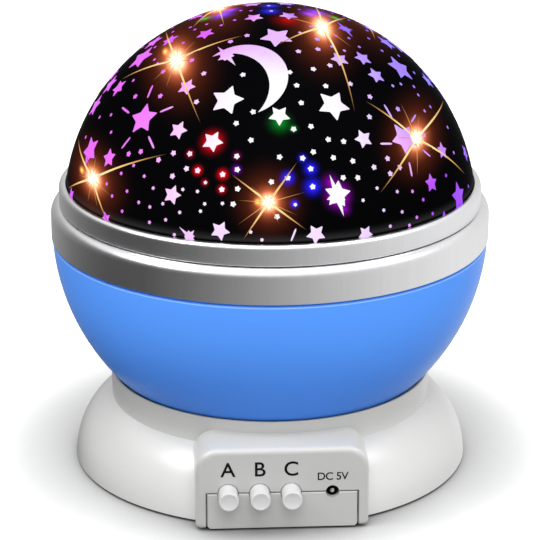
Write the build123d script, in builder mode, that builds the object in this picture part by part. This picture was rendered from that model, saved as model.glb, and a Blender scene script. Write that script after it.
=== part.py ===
from build123d import *
from math import acos, asin, cos, degrees, pi, radians, sin, sqrt, tan
import os

os.makedirs("parts", exist_ok=True)

# Star night light projector. Millimetres, +Z up, origin on the table under the middle of the base.
# The control panel faces -Y. The bowl and the dome turn about +Z on the lamp post.

# ---------------------------------------------------------------------------------------------
# Driving dimensions
# ---------------------------------------------------------------------------------------------

# Fits between pieces
seam = 0.15  # visible joint line between two mouldings of one body
moving_gap = 0.3  # between faces that pass each other
running_fit = 0.08  # radial play of a bearing

# Moulded walls
wall = 2.0
floor_thickness = 2.2
boss_radius = 3.0
small_boss_radius = 2.0

# Power: four AAA cells side by side
cell_radius = 5.25
cell_length = 44.5
cell_nub_radius = 1.9
cell_nub_length = 1.0
cell_round = 0.6
cell_count = 4
cell_pitch = 11.0
cell_play = 0.5
contact_space = 2.5
contact_sheet = 0.4
contact_width = 8.0
spring_foot = 3.4
spring_tip = 1.8
cell_rib = 0.4
cell_rib_height = 2.5
battery_box_wall = 1.4
battery_box_setback = 18.95  # of its rear wall inside the skirt's foot

# Base
foot_stand = 1.0  # underside of the cover above the table
foot_recess = 0.6
foot_radius = 5.0
foot_inset = 12.1  # of its centre inside the skirt's foot
foot_angles = (40, 140, 220, 320)
foot_round = 0.5
rim_drop = 0.2  # the skirt reaches a little below the cover
base_radius = 59.1
skirt_reach = 20.0
skirt_over_deck = 3.0
deck_thickness = 2.0
lead_space = 1.5  # between the battery box and the deck
cover_screw_inset = 11.6
cover_screw_angles = (0, 90, 180, 235, 305)
cover_screw_depth = 9.0
collar_lip = 0.55
collar_margin = 2.5  # from the edge of the bowl's flat underside
collar_over_floor = 1.1

# Control pod
pod_front_reach = 0.9  # its flat face stands this far in front of the skirt
pod_width = 49.5
pod_corner = 6.5
pod_edge = 1.6
pod_foot_round = 1.2
panel_groove = 0.25  # chamfer on both sides of the parting line round the cover's tab
seam_foot = 1.2  # side of the square notch at each lower end of that line
pod_below_collar = 3.3
panel_line = 11.5  # parting line and centre line of the controls, above the table
tab_inset = 3.3
button_radius = 2.85
button_places = (-15.5, -6.5, 2.5)
button_names = ("a", "b", "c")
button_stand = 6.0
button_travel = 0.8
button_flange_radius = 3.9
button_flange_thickness = 1.0
button_stem_radius = 1.8
button_round = 0.6
button_play = 0.2
jack_place = 14.3
jack_bore_radius = 1.75
jack_face_radius = 1.95
jack_pin_radius = 0.65
jack_pin_recess = 0.8
jack_depth = 9.5
jack_length = 12.0
jack_width = 9.0
jack_height = 6.5
jack_round = 0.5

# Control board
board_thickness = 1.6
board_height = 17.0
board_lift = 1.5
board_clearance = 1.0
board_screw_inset = 2.2
board_screw_height = 18.6
board_screw_length = 5.0
board_corner = 1.0
switch_side = 6.0
switch_depth = 3.5
switch_plunger_radius = 1.5
switch_plunger_stand = 1.3

# Drive: a worm-geared motor turns a pinion inside a ring gear
gear_module = 1.0
ring_teeth = 72
pinion_teeth = 18
pressure_angle = 20.0
ring_addendum = 0.8
pinion_addendum = 0.85
dedendum = 1.1
tooth_slack = 0.14
flank_points = 4
ring_rim = 4.9
ring_height = 4.2
ring_lift = 1.3  # above the deck
ring_screw_count = 4
ring_screw_start = 45
ring_screw_length = 6.0
ring_boss_height = 1.5
pinion_height = 3.5
pinion_lift = 1.4
shaft_radius = 1.5
shaft_flat = 0.4
shaft_play = 0.06
gearbox_width = 18.0
gearbox_depth = 16.0
gearbox_height = 11.5
gearbox_neck_radius = 3.9
gearbox_neck_height = 0.8  # above the deck
gearbox_ear = 4.0
gearbox_ear_thickness = 2.0
gearbox_corner = 1.5
deck_screw_bite = 1.6
motor_length = 15.0
motor_width = 12.0
motor_height = 10.0
motor_boss_radius = 2.0
motor_boss_length = 1.2

# Lamp post and bearing
post_radius = 7.0
post_bore = 5.0
journal_radius = 9.0
post_flange_radius = 15.2
post_flange_thickness = 1.8
thrust_radius = 11.3
post_screw_circle_radius = 13.3
post_screw_count = 3
post_screw_start = 30
post_table = 2.0
washer_radius = 13.0
washer_thickness = 0.8
washer_play = 0.1
hub_radius = 12.5
hub_height = 9.0
retainer_radius = 11.0
retainer_thickness = 0.8
retainer_play = 0.2
retainer_slots = 8
retainer_slot_width = 1.2
retainer_slot_depth = 2.0

# Lamps
led_radius = 2.5
led_length = 7.6
led_flange = 0.4
led_circle_radius = 5.5
led_board_radius = 12.0
led_board_thickness = 1.2
led_over_centre = 3.0  # tips of the lamps above the centre of the dome
led_names = ("warm", "red", "green", "blue")

# Bowl
bowl_setback = 0.2  # inside the trim ring's face
bowl_clearance = 0.4
gear_margin = 1.45  # of the bowl's flat underside outside the ring gear
rim_wall = 2.0
rim_fit = 0.1
deck_boss_inset = 11.0  # inside the trim ring's face
deck_boss_count = 4
deck_boss_below_ring = 4.0
deck_screw_depth = 6.0

# Trim ring: the widest piece, which the bowl and the dome are sized from
ring_radius = 65.0
ring_below_centre = 2.9
ring_band = 7.2
ring_wall = 1.5
ring_shoulder = 3.0
seam_height = 0.6
spigot_setback = 7.0
spigot_wall = 1.6
spigot_height = 4.7

# Bayonet between the dome and the trim ring
bayonet_count = 3
lug_width = 7.4
lug_height = 2.0
lug_reach = 1.0  # past the spigot's outer face
slot_margin = 0.8
slot_sill = 1.0
bayonet_start = 90

# Reflector deck inside the bowl
reflector_thickness = 1.5
reflector_hole = 14.0
reflector_lip = 3.5
reflector_play = 0.5

# Dome
dome_setback = 3.9
dome_wall = 2.0
dome_drop = 3.5  # from the dome's centre to its lower edge
dome_seat_gap = 0.2
band_thickness = 1.4  # over the dome's widest
band_height = 6.0
band_round = 0.9

# Battery door
door_thickness = 1.8
door_gap = 0.3
door_pin_radius = 0.6
door_pin_length = 1.1
door_pin_play = 0.08
door_grip_count = 5
door_grip_depth = 0.5
door_grip_pitch = 1.6
door_grip_width = 16.0
door_grip_setback = 7.0

# Small screws
screw_radius = 1.1
screw_head_radius = 2.1
screw_head_height = 1.1
small_screw_radius = 0.8
small_head_radius = 1.5
small_head_height = 0.9

# Leads
lead_radius = 0.45
lead_bend = 2.5
lead_pitch = 1.4
lead_side = 17.0

# ---------------------------------------------------------------------------------------------
# Heights and places that follow
# ---------------------------------------------------------------------------------------------

UPRIGHT = (Align.CENTER, Align.CENTER, Align.MIN)
HANGING = (Align.CENTER, Align.CENTER, Align.MAX)


def depth_at(radius, ball_radius):
    """How far below a ball's centre its surface is, at a radius from the axis."""
    return sqrt(ball_radius**2 - radius**2)


def radius_at(height, ball_radius, ball_centre):
    """A ball's radius from the axis at a height."""
    return sqrt(ball_radius**2 - (height - ball_centre) ** 2)


base_bottom = foot_stand - rim_drop
cover_top = foot_stand + wall
cell_axis = cover_top + cell_play + cell_radius
box_roof = cell_axis + cell_radius + cell_play
deck_bottom = box_roof + battery_box_wall + lead_space
deck_top = deck_bottom + deck_thickness

box_half_width = (cell_count * cell_pitch) / 2 + cell_play / 2
box_half_length = cell_length / 2 + contact_space
battery_box_centre = base_radius - battery_box_setback - battery_box_wall - box_half_length
box_front_reach = box_half_length + battery_box_wall - battery_box_centre

door_half_width = box_half_width - door_gap
door_front_y = battery_box_centre - box_half_length + door_gap
door_axis_y = battery_box_centre + box_half_length - door_gap - door_thickness / 2
door_axis_z = foot_stand + door_thickness / 2

ring_pitch_radius = gear_module * ring_teeth / 2
pinion_pitch_radius = gear_module * pinion_teeth / 2
gear_distance = ring_pitch_radius - pinion_pitch_radius
pinion_bottom = deck_top + pinion_lift
pinion_top = pinion_bottom + pinion_height
motor_axis_z = deck_bottom - gearbox_height / 2
shaft_foot = deck_bottom - gearbox_height + 2 * wall
gearbox_ears = (
    (-gearbox_width / 2 - gearbox_ear / 2, -gear_distance),
    (0, -gear_distance - gearbox_depth / 2 - gearbox_ear / 2),
)
drive_ring_radius = ring_pitch_radius + dedendum * gear_module + ring_rim
ring_screw_circle_radius = drive_ring_radius - ring_rim / 2

bowl_floor = deck_top + ring_lift + ring_height  # underside of the bowl
floor_top = bowl_floor + floor_thickness
floor_radius = drive_ring_radius + gear_margin
bowl_radius = ring_radius - bowl_setback
bowl_centre = bowl_floor + sqrt(bowl_radius**2 - floor_radius**2)
bowl_inner = bowl_radius - wall

ring_bottom = bowl_centre - ring_below_centre
ring_top = ring_bottom + ring_band
shoulder_top = ring_top + ring_shoulder
web_under = shoulder_top - wall
spigot_radius = ring_radius - spigot_setback
spigot_top = shoulder_top + spigot_height
rim_outer = ring_radius - ring_wall - rim_fit
rim_inner = rim_outer - rim_wall
rim_top = web_under - rim_fit
brim_height = ring_bottom - seam_height
deck_boss_top = ring_bottom - deck_boss_below_ring

deck_boss_circle_radius = ring_radius - deck_boss_inset
deck_boss_foot = bowl_centre - depth_at(deck_boss_circle_radius + boss_radius, bowl_radius - wall / 4)

dome_bottom = shoulder_top + dome_seat_gap
dome_centre = dome_bottom - dome_drop
dome_radius = ring_radius - dome_setback
dome_inner = dome_radius - dome_wall
lug_inside = spigot_radius - lug_reach
band_radius = dome_radius + band_thickness

collar_top = floor_top + collar_over_floor
collar_inner = floor_radius + collar_margin
pod_top = collar_top - pod_below_collar
pod_front = base_radius + pod_front_reach
panel_back = pod_front - wall
tab_width = pod_width - 2 * tab_inset
foot_circle_radius = base_radius - foot_inset
cover_screw_circle_radius = base_radius - cover_screw_inset

hub_bore = journal_radius + running_fit
hub_top = bowl_floor + hub_height
journal_top = hub_top + retainer_play
thrust_top = bowl_floor - washer_play - washer_thickness
flange_top = deck_top + post_flange_thickness
led_board_top = dome_centre + led_over_centre - led_length
post_top = led_board_top - led_board_thickness

flange_front = panel_back - moving_gap / 3  # the buttons' flanges rest just behind the panel
plunger_front = flange_front - button_flange_thickness - button_stem_radius / 2
switch_front = plunger_front - switch_plunger_stand
board_front = switch_front - switch_depth
board_back = board_front - board_thickness
board_bottom = cover_top + board_lift
board_left = -pod_width / 2 + wall + board_clearance
board_right = jack_place - jack_width / 2 - board_clearance
board_screw_places = (board_left + board_screw_inset, board_right - board_screw_inset)

collar_seat_radius = bowl_radius + bowl_clearance
collar_radius = radius_at(collar_top, collar_seat_radius, bowl_centre) + collar_lip
collar_seat_bottom = bowl_centre - depth_at(collar_inner, collar_seat_radius)

skirt_centre = base_radius - skirt_reach
skirt_rise = deck_top + skirt_over_deck
skirt_inner_reach = skirt_reach - wall
skirt_inner_rise = skirt_rise - wall


def skirt_angle(height, rise):
    """Angle on the skirt's ellipse, in degrees, where it passes a height."""
    return degrees(asin(height / rise))


def skirt_inner_radius(height):
    """Radius of the skirt's inner face at a height."""
    return skirt_centre + skirt_inner_reach * cos(radians(skirt_angle(height, skirt_inner_rise)))


def skirt_arc(reach, rise, low, high_angle):
    """The skirt's curve from a height up to an angle on its ellipse, drawn in the current line."""
    start = skirt_angle(low, rise)
    return EllipticalCenterArc(
        (skirt_centre, 0), reach, rise, start_angle=start, arc_size=high_angle - start
    )


cover_radius = skirt_inner_radius(cover_top) - seam


# ---------------------------------------------------------------------------------------------
# Shared shapes
# ---------------------------------------------------------------------------------------------


def involute(angle):
    """Involute of an angle in radians."""
    return tan(angle) - angle


def tooth_half_angle(radius, teeth, slack):
    """Half the angle that an involute tooth takes at a radius, thinned by slack at its pitch line."""
    pitch_radius = gear_module * teeth / 2
    pressure = radians(pressure_angle)
    base_circle = pitch_radius * cos(pressure)
    roll = acos(min(1.0, base_circle / radius))
    at_pitch = pi / (2 * teeth) - slack / (2 * pitch_radius)
    return at_pitch + involute(pressure) - involute(roll)


def gear_outline(teeth, low, high, slack, start):
    """Corner points of a toothed outline between two radii, with a tooth centred on the start angle."""
    base_circle = gear_module * teeth / 2 * cos(radians(pressure_angle))
    first = max(low, base_circle)
    radii = [first + (high - first) * step / (flank_points - 1) for step in range(flank_points)]
    flank = [(radius, tooth_half_angle(radius, teeth, slack)) for radius in radii]
    if low < base_circle:
        flank.insert(0, (low, flank[0][1]))
    rising = [(radius, -half) for radius, half in flank]
    falling = list(reversed(flank))
    points = []
    for tooth in range(teeth):
        middle = radians(start) + 2 * pi * tooth / teeth
        for radius, turn in rising + falling:
            points.append((radius * cos(middle + turn), radius * sin(middle + turn)))
    return points


def screw(head_radius, head_height, shank_radius, shank_length):
    """A cylinder-head screw at each current location: seat of the head at the origin, shank up."""
    Cylinder(head_radius, head_height, align=(Align.CENTER, Align.CENTER, Align.MAX))
    Cylinder(shank_radius, shank_length, align=(Align.CENTER, Align.CENTER, Align.MIN))


def lead(points):
    """A thin insulated wire along straight runs with equal bends."""
    with BuildLine() as route:
        FilletPolyline(*points, radius=lead_bend)
    with BuildSketch(Plane(origin=route.line @ 0, z_dir=route.line % 0)) as section:
        Circle(lead_radius)
    sweep(section.sketch, path=route.line)


# ---------------------------------------------------------------------------------------------
# Base
# ---------------------------------------------------------------------------------------------


def pod_outline(inset, low):
    """Edges of the pod's front view: upright sides and rounded upper corners."""
    half_width = pod_width / 2 - inset
    corner = pod_corner - inset
    with BuildLine() as outline:
        left = Line((-half_width, low), (-half_width, pod_top - inset - corner))
        left_corner = RadiusArc(left @ 1, (-half_width + corner, pod_top - inset), corner)
        top = Line(left_corner @ 1, (half_width - corner, pod_top - inset))
        right_corner = RadiusArc(top @ 1, (half_width, pod_top - inset - corner), corner)
        right = Line(right_corner @ 1, (half_width, low))
        Line(right @ 1, left @ 0)
    return outline.edges()


def panel_planes(places, height, front):
    """Planes that look along +Y into the panel, one for each place across it."""
    return [Plane(origin=(x, -front, height), x_dir=(1, 0, 0), z_dir=(0, 1, 0)) for x in places]


pod_depth = pod_front - collar_inner + wall
seam_foot_places = [
    Location((side * (tab_width + seam) / 2, -pod_front, base_bottom), (0, 45, 0)) for side in (-1, 1)
]

with BuildPart() as base_shell:
    # Control pod: a block with rounded upper corners and a rounded front
    with BuildSketch(Plane.XZ.offset(pod_front)):
        make_face(pod_outline(0, base_bottom))
    extrude(amount=-pod_depth)
    face_edges = faces().sort_by(Axis.Y)[0].edges()
    fillet(face_edges.sort_by(Axis.Z)[1:], pod_edge)
    fillet(faces().sort_by(Axis.Z)[0].edges().sort_by(Axis.Y)[:-1], pod_foot_round)

    # Skirt, turned about the axis
    with BuildSketch(Plane.XZ):
        with BuildLine():
            collar_angle = degrees(acos((collar_radius - skirt_centre) / skirt_reach))
            skirt_outside = skirt_arc(skirt_reach, skirt_rise, base_bottom, collar_angle)
            Polyline(skirt_outside @ 1, (0, skirt_outside.position_at(1).Y), (0, base_bottom))
            Line((0, base_bottom), skirt_outside @ 0)
        make_face()
    revolve(axis=Axis.Z)

    # The inside of the pod, the inside of the skirt and the well of the bowl are hollow
    with BuildSketch(Plane.XZ.offset(panel_back)):
        make_face(pod_outline(wall, base_bottom - wall))
    extrude(amount=-pod_depth, mode=Mode.SUBTRACT)
    with BuildSketch(Plane.XZ):
        with BuildLine():
            inner_angle = skirt_angle(deck_bottom, skirt_inner_rise)
            skirt_inside = skirt_arc(skirt_inner_reach, skirt_inner_rise, 0, inner_angle)
            Polyline(skirt_inside @ 1, (0, deck_bottom), (0, 0), skirt_inside @ 0)
        make_face()
    revolve(axis=Axis.Z, mode=Mode.SUBTRACT)
    with Locations((0, 0, deck_top)):
        Cylinder(collar_inner, pod_top, align=UPRIGHT, mode=Mode.SUBTRACT)

    # Deck and collar, whose lip follows the bowl
    with BuildSketch(Plane.XZ):
        with BuildLine():
            lip_edge = (collar_radius - collar_lip, collar_top)
            seat_edge = (collar_inner, collar_seat_bottom)
            RadiusArc(lip_edge, seat_edge, collar_seat_radius)
            Polyline(
                seat_edge,
                (collar_inner, deck_top),
                (post_bore, deck_top),
                (post_bore, deck_bottom),
                (collar_radius, deck_bottom),
                (collar_radius, collar_top),
                lip_edge,
            )
        make_face()
    revolve(axis=Axis.Z)

    # Bosses for the cover screws
    for angle in cover_screw_angles:
        with Locations((0, 0, cover_top)):
            with PolarLocations(cover_screw_circle_radius, 1, start_angle=angle):
                Cylinder(boss_radius, deck_top - cover_top - wall / 2, align=UPRIGHT)
                Cylinder(screw_radius, cover_screw_depth, align=UPRIGHT, mode=Mode.SUBTRACT)

    # Posts behind the panel that carry the control board
    with Locations(*panel_planes(board_screw_places, board_screw_height, panel_back)):
        Cylinder(small_boss_radius, panel_back - board_front, align=UPRIGHT)
    with Locations(*panel_planes(board_screw_places, board_screw_height, board_front)):
        Cylinder(
            small_screw_radius,
            board_screw_length - board_thickness,
            align=HANGING,
            mode=Mode.SUBTRACT,
        )

    # Notch for the cover's tab, then the upper halves of the button holes and of the jack's hole
    with Locations((0, -pod_front, panel_line + seam / 2)):
        Box(tab_width + 2 * seam, 2 * wall + seam, panel_line * 2, align=HANGING, mode=Mode.SUBTRACT)
    notch_edges = [
        edge
        for edge in edges().group_by(Axis.Y)[0]
        if abs(edge.center().X) < tab_width / 2 + 2 * seam and edge.center().Z < panel_line + seam
    ]
    chamfer(notch_edges, panel_groove)
    with Locations(*seam_foot_places):
        Box(seam_foot, 2 * wall, seam_foot, mode=Mode.SUBTRACT)
    with Locations(*panel_planes(button_places, panel_line, pod_front)):
        Cylinder(button_radius + button_play, 2 * wall, mode=Mode.SUBTRACT)
    with Locations(*panel_planes((jack_place,), panel_line, pod_front)):
        Cylinder(jack_face_radius, 2 * wall, mode=Mode.SUBTRACT)

    # Holes in the deck: lamp leads, gearbox neck, gearbox screws and lamp post screws
    with Locations((0, 0, deck_top)):
        Cylinder(post_bore, 3 * deck_thickness, mode=Mode.SUBTRACT)
    with Locations((0, -gear_distance, deck_top)):
        Cylinder(gearbox_neck_radius + seam, 2 * deck_thickness, mode=Mode.SUBTRACT)
    with Locations(*[(x, y, deck_bottom) for x, y in gearbox_ears]):
        Cylinder(small_screw_radius, deck_screw_bite, align=UPRIGHT, mode=Mode.SUBTRACT)
    with Locations((0, 0, deck_top)):
        with PolarLocations(post_screw_circle_radius, post_screw_count, start_angle=post_screw_start):
            Cylinder(small_screw_radius, deck_screw_bite, align=HANGING, mode=Mode.SUBTRACT)
base_shell.part.label = "base_shell"
export_step(base_shell.part, "parts/base_shell.step")


with BuildPart() as bottom_cover:
    # Round plate with a tongue under the pod and an upright tab in the panel
    with BuildSketch(Plane.XY.offset(foot_stand)):
        Circle(cover_radius)
        with Locations((0, -pod_front)):
            Rectangle(tab_width, pod_depth, align=(Align.CENTER, Align.MIN))
    extrude(amount=wall)
    with Locations((0, -pod_front, base_bottom)):
        Box(
            tab_width,
            wall,
            panel_line - seam / 2 - base_bottom,
            align=(Align.CENTER, Align.MIN, Align.MIN),
        )
    chamfer(edges().group_by(Axis.Y)[0].sort_by(Axis.Z)[1:], panel_groove)
    with Locations(*seam_foot_places):
        Box(seam_foot, 2 * wall, seam_foot, mode=Mode.SUBTRACT)

    # Battery box, open downwards
    with Locations((0, battery_box_centre, cover_top)):
        Box(
            2 * (box_half_width + battery_box_wall),
            2 * (box_half_length + battery_box_wall),
            box_roof + battery_box_wall - cover_top,
            align=UPRIGHT,
        )
    with Locations((0, battery_box_centre, box_roof)):
        Box(2 * box_half_width, 2 * box_half_length, 2 * box_roof, align=HANGING, mode=Mode.SUBTRACT)

    # Low ribs that keep the cells apart, hung from the roof of the box
    with Locations((0, battery_box_centre, box_roof)):
        with GridLocations(cell_pitch, 1, cell_count - 1, 1):
            Box(cell_rib, cell_length, cell_rib_height, align=HANGING)

    # Bearings for the battery door's two pins
    with Locations(Plane(origin=(0, door_axis_y, door_axis_z), z_dir=(1, 0, 0))):
        Cylinder(
            door_pin_radius + door_pin_play,
            2 * (box_half_width + door_pin_length),
            mode=Mode.SUBTRACT,
        )

    # Recesses for the feet and countersunk holes for the screws
    for angle in foot_angles:
        with Locations((0, 0, foot_stand)):
            with PolarLocations(foot_circle_radius, 1, start_angle=angle):
                Cylinder(foot_radius + seam, foot_recess, align=UPRIGHT, mode=Mode.SUBTRACT)
    for angle in cover_screw_angles:
        with Locations((0, 0, foot_stand)):
            with PolarLocations(cover_screw_circle_radius, 1, start_angle=angle):
                Cylinder(screw_radius + seam, 3 * wall, mode=Mode.SUBTRACT)
                Cylinder(
                    screw_head_radius + seam,
                    screw_head_height + seam,
                    align=UPRIGHT,
                    mode=Mode.SUBTRACT,
                )

    # Lower halves of the button holes and of the jack's hole
    with Locations(*panel_planes(button_places, panel_line, pod_front)):
        Cylinder(button_radius + button_play, 2 * wall, mode=Mode.SUBTRACT)
    with Locations(*panel_planes((jack_place,), panel_line, pod_front)):
        Cylinder(jack_face_radius, 2 * wall, mode=Mode.SUBTRACT)
bottom_cover.part.label = "bottom_cover"
export_step(bottom_cover.part, "parts/bottom_cover.step")


with BuildPart() as battery_door:
    # Flat plate whose rear edge is rounded about the hinge line
    with BuildSketch(Plane.YZ.offset(-door_half_width)):
        with BuildLine():
            door_rear = CenterArc((door_axis_y, door_axis_z), door_thickness / 2, -90, 180)
            Polyline(
                door_rear @ 1,
                (door_front_y, foot_stand + door_thickness),
                (door_front_y, foot_stand),
                door_rear @ 0,
            )
        make_face()
    extrude(amount=2 * door_half_width)
    with Locations(Plane(origin=(0, door_axis_y, door_axis_z), z_dir=(1, 0, 0))):
        Cylinder(door_pin_radius, 2 * (door_half_width + door_gap + door_pin_length - seam))

    # Row of thumb grooves across the free end
    with Locations((0, door_front_y + door_grip_setback, foot_stand)):
        with GridLocations(1, door_grip_pitch, 1, door_grip_count):
            Box(door_grip_width, door_grip_pitch / 2, 2 * door_grip_depth, mode=Mode.SUBTRACT)
battery_door.part.label = "battery_door"
export_step(battery_door.part, "parts/battery_door.step")


for number, angle in enumerate(foot_angles):
    with BuildPart() as foot:
        with PolarLocations(foot_circle_radius, 1, start_angle=angle):
            Cylinder(foot_radius, foot_stand + foot_recess, align=UPRIGHT)
        fillet(foot.edges().group_by(Axis.Z)[0], foot_round)
    foot.part.label = f"foot_{number + 1}"
    export_step(foot.part, f"parts/foot_{number + 1}.step")


with BuildPart() as cover_screws:
    for angle in cover_screw_angles:
        with Locations((0, 0, foot_stand + screw_head_height + seam)):
            with PolarLocations(cover_screw_circle_radius, 1, start_angle=angle):
                screw(screw_head_radius, screw_head_height, screw_radius, cover_screw_depth)
cover_screws.part.label = "cover_screws"
export_step(cover_screws.part, "parts/cover_screws.step")


# ---------------------------------------------------------------------------------------------
# Batteries and contacts
# ---------------------------------------------------------------------------------------------

cell_places = [(number - (cell_count - 1) / 2) * cell_pitch for number in range(cell_count)]

for number, place in enumerate(cell_places):
    facing = 1 if number % 2 == 0 else -1
    flat_end = battery_box_centre - facing * cell_length / 2
    with BuildPart() as battery:
        with Locations(Plane(origin=(place, flat_end, cell_axis), z_dir=(0, facing, 0))):
            Cylinder(cell_radius, cell_length - cell_nub_length, align=UPRIGHT)
            Cylinder(cell_nub_radius, cell_length, align=UPRIGHT)
        fillet(battery.edges().filter_by(GeomType.CIRCLE).sort_by(SortBy.RADIUS)[-2:], cell_round)
    battery.part.label = f"battery_{number + 1}"
    export_step(battery.part, f"parts/battery_{number + 1}.step")


for side, name in ((-1, "battery_contacts_front"), (1, "battery_contacts_rear")):
    wall_face = battery_box_centre + side * box_half_length
    with BuildPart() as contacts:
        for number, place in enumerate(cell_places):
            nub_here = (number % 2 == 0) == (side == 1)
            with Locations(Plane(origin=(place, wall_face, cell_axis), z_dir=(0, -side, 0))):
                Box(contact_width, contact_width, contact_sheet, align=UPRIGHT)
                if nub_here:
                    Cylinder(cell_nub_radius, contact_space, align=UPRIGHT)
                else:
                    Cone(spring_foot, spring_tip, contact_space, align=UPRIGHT)
    contacts.part.label = name
    export_step(contacts.part, f"parts/{name}.step")


# ---------------------------------------------------------------------------------------------
# Panel: buttons, switches, power socket and control board
# ---------------------------------------------------------------------------------------------

for name, place in zip(button_names, button_places):
    with BuildPart() as button:
        with Locations(*panel_planes((place,), panel_line, pod_front + button_stand)):
            Cylinder(button_radius, pod_front + button_stand - flange_front, align=UPRIGHT)
        fillet(button.edges().group_by(Axis.Y)[0], button_round)
        with Locations(*panel_planes((place,), panel_line, flange_front)):
            Cylinder(button_flange_radius, button_flange_thickness, align=UPRIGHT)
            Cylinder(button_stem_radius, flange_front - plunger_front, align=UPRIGHT)
    button.part.label = f"button_{name}"
    export_step(button.part, f"parts/button_{name}.step")

    with BuildPart() as plunger:
        with Locations(*panel_planes((place,), panel_line, plunger_front)):
            Cylinder(switch_plunger_radius, 2 * switch_plunger_stand, align=UPRIGHT)
    plunger.part.label = f"switch_plunger_{name}"
    export_step(plunger.part, f"parts/switch_plunger_{name}.step")

    with BuildPart() as switch:
        with Locations(*panel_planes((place,), panel_line, switch_front)):
            Box(switch_side, switch_side, switch_depth, align=UPRIGHT)
            Cylinder(
                switch_plunger_radius + moving_gap,
                switch_plunger_stand + button_travel + moving_gap,
                align=UPRIGHT,
                mode=Mode.SUBTRACT,
            )
    switch.part.label = f"switch_{name}"
    export_step(switch.part, f"parts/switch_{name}.step")


with BuildPart() as control_board:
    with BuildSketch(Plane.XZ.offset(board_front)):
        with Locations((board_left, board_bottom)):
            RectangleRounded(
                board_right - board_left,
                board_height,
                board_corner,
                align=(Align.MIN, Align.MIN),
            )
        with Locations(*[(x, board_screw_height) for x in board_screw_places]):
            Circle(small_screw_radius, mode=Mode.SUBTRACT)
    extrude(amount=-board_thickness)
control_board.part.label = "control_board"
export_step(control_board.part, "parts/control_board.step")


with BuildPart() as board_screws:
    seats = [
        Plane(origin=(x, -board_back, board_screw_height), z_dir=(0, -1, 0))
        for x in board_screw_places
    ]
    with Locations(*seats):
        screw(small_head_radius, small_head_height, small_screw_radius, board_screw_length)
board_screws.part.label = "board_screws"
export_step(board_screws.part, "parts/board_screws.step")


with BuildPart() as dc_jack:
    with Locations(*panel_planes((jack_place,), panel_line, panel_back)):
        Box(jack_width, jack_height, jack_length, align=UPRIGHT)
    fillet(dc_jack.edges().filter_by(Axis.Y), jack_round)
    with Locations(*panel_planes((jack_place,), panel_line, panel_back)):
        Cylinder(jack_bore_radius, jack_depth - wall, align=UPRIGHT, mode=Mode.SUBTRACT)
dc_jack.part.label = "dc_jack"
export_step(dc_jack.part, "parts/dc_jack.step")


with BuildPart() as dc_jack_pin:
    with Locations(*panel_planes((jack_place,), panel_line, pod_front - jack_pin_recess)):
        Cylinder(jack_pin_radius, jack_depth - jack_pin_recess, align=UPRIGHT)
    fillet(dc_jack_pin.edges().group_by(Axis.Y)[0], jack_pin_radius / 2)
dc_jack_pin.part.label = "dc_jack_pin"
export_step(dc_jack_pin.part, "parts/dc_jack_pin.step")


# ---------------------------------------------------------------------------------------------
# Drive
# ---------------------------------------------------------------------------------------------

with BuildPart() as motor_gearbox:
    # Closed worm housing hung under the deck, with two screw ears and an output neck
    with BuildSketch(Plane.XY.offset(deck_bottom)):
        with Locations((0, -gear_distance)):
            RectangleRounded(gearbox_width, gearbox_depth, gearbox_corner)
    extrude(amount=-gearbox_height)
    with BuildSketch(Plane.XY.offset(deck_bottom)):
        with Locations(*gearbox_ears):
            Circle(gearbox_ear)
    extrude(amount=-gearbox_ear_thickness)
    with Locations((0, -gear_distance, deck_bottom)):
        Cylinder(gearbox_neck_radius, deck_thickness + gearbox_neck_height, align=UPRIGHT)
    with Locations(*[(x, y, deck_bottom) for x, y in gearbox_ears]):
        Cylinder(small_screw_radius, 2 * gearbox_ear_thickness, mode=Mode.SUBTRACT)
    with Locations((0, -gear_distance, shaft_foot - shaft_play)):
        Cylinder(shaft_radius + shaft_play, deck_top, align=UPRIGHT, mode=Mode.SUBTRACT)
motor_gearbox.part.label = "motor_gearbox"
export_step(motor_gearbox.part, "parts/motor_gearbox.step")


with BuildPart() as motor_can:
    # Flat-sided can lying across the base, with its end cap and bearing boss
    with BuildSketch(Plane.YZ.offset(gearbox_width / 2)):
        with Locations((-gear_distance, motor_axis_z)):
            Circle(motor_width / 2)
            Rectangle(motor_width, motor_height, mode=Mode.INTERSECT)
    extrude(amount=motor_length)
    with BuildSketch(Plane.YZ.offset(gearbox_width / 2 + motor_length)):
        with Locations((-gear_distance, motor_axis_z)):
            Circle(motor_boss_radius)
    extrude(amount=motor_boss_length)
motor_can.part.label = "motor_can"
export_step(motor_can.part, "parts/motor_can.step")


with BuildPart() as gearbox_screws:
    with Locations(*[(x, y, deck_bottom - gearbox_ear_thickness) for x, y in gearbox_ears]):
        screw(
            small_head_radius,
            small_head_height,
            small_screw_radius,
            gearbox_ear_thickness + deck_screw_bite,
        )
gearbox_screws.part.label = "gearbox_screws"
export_step(gearbox_screws.part, "parts/gearbox_screws.step")


with BuildPart() as motor_shaft:
    with Locations((0, -gear_distance, shaft_foot)):
        Cylinder(shaft_radius, pinion_top - shaft_foot, align=UPRIGHT)
    with Locations((0, -gear_distance + shaft_radius - shaft_flat, pinion_bottom)):
        Box(
            2 * shaft_radius,
            shaft_radius,
            pinion_height,
            align=(Align.CENTER, Align.MIN, Align.MIN),
            mode=Mode.SUBTRACT,
        )
motor_shaft.part.label = "motor_shaft"
export_step(motor_shaft.part, "parts/motor_shaft.step")


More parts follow.
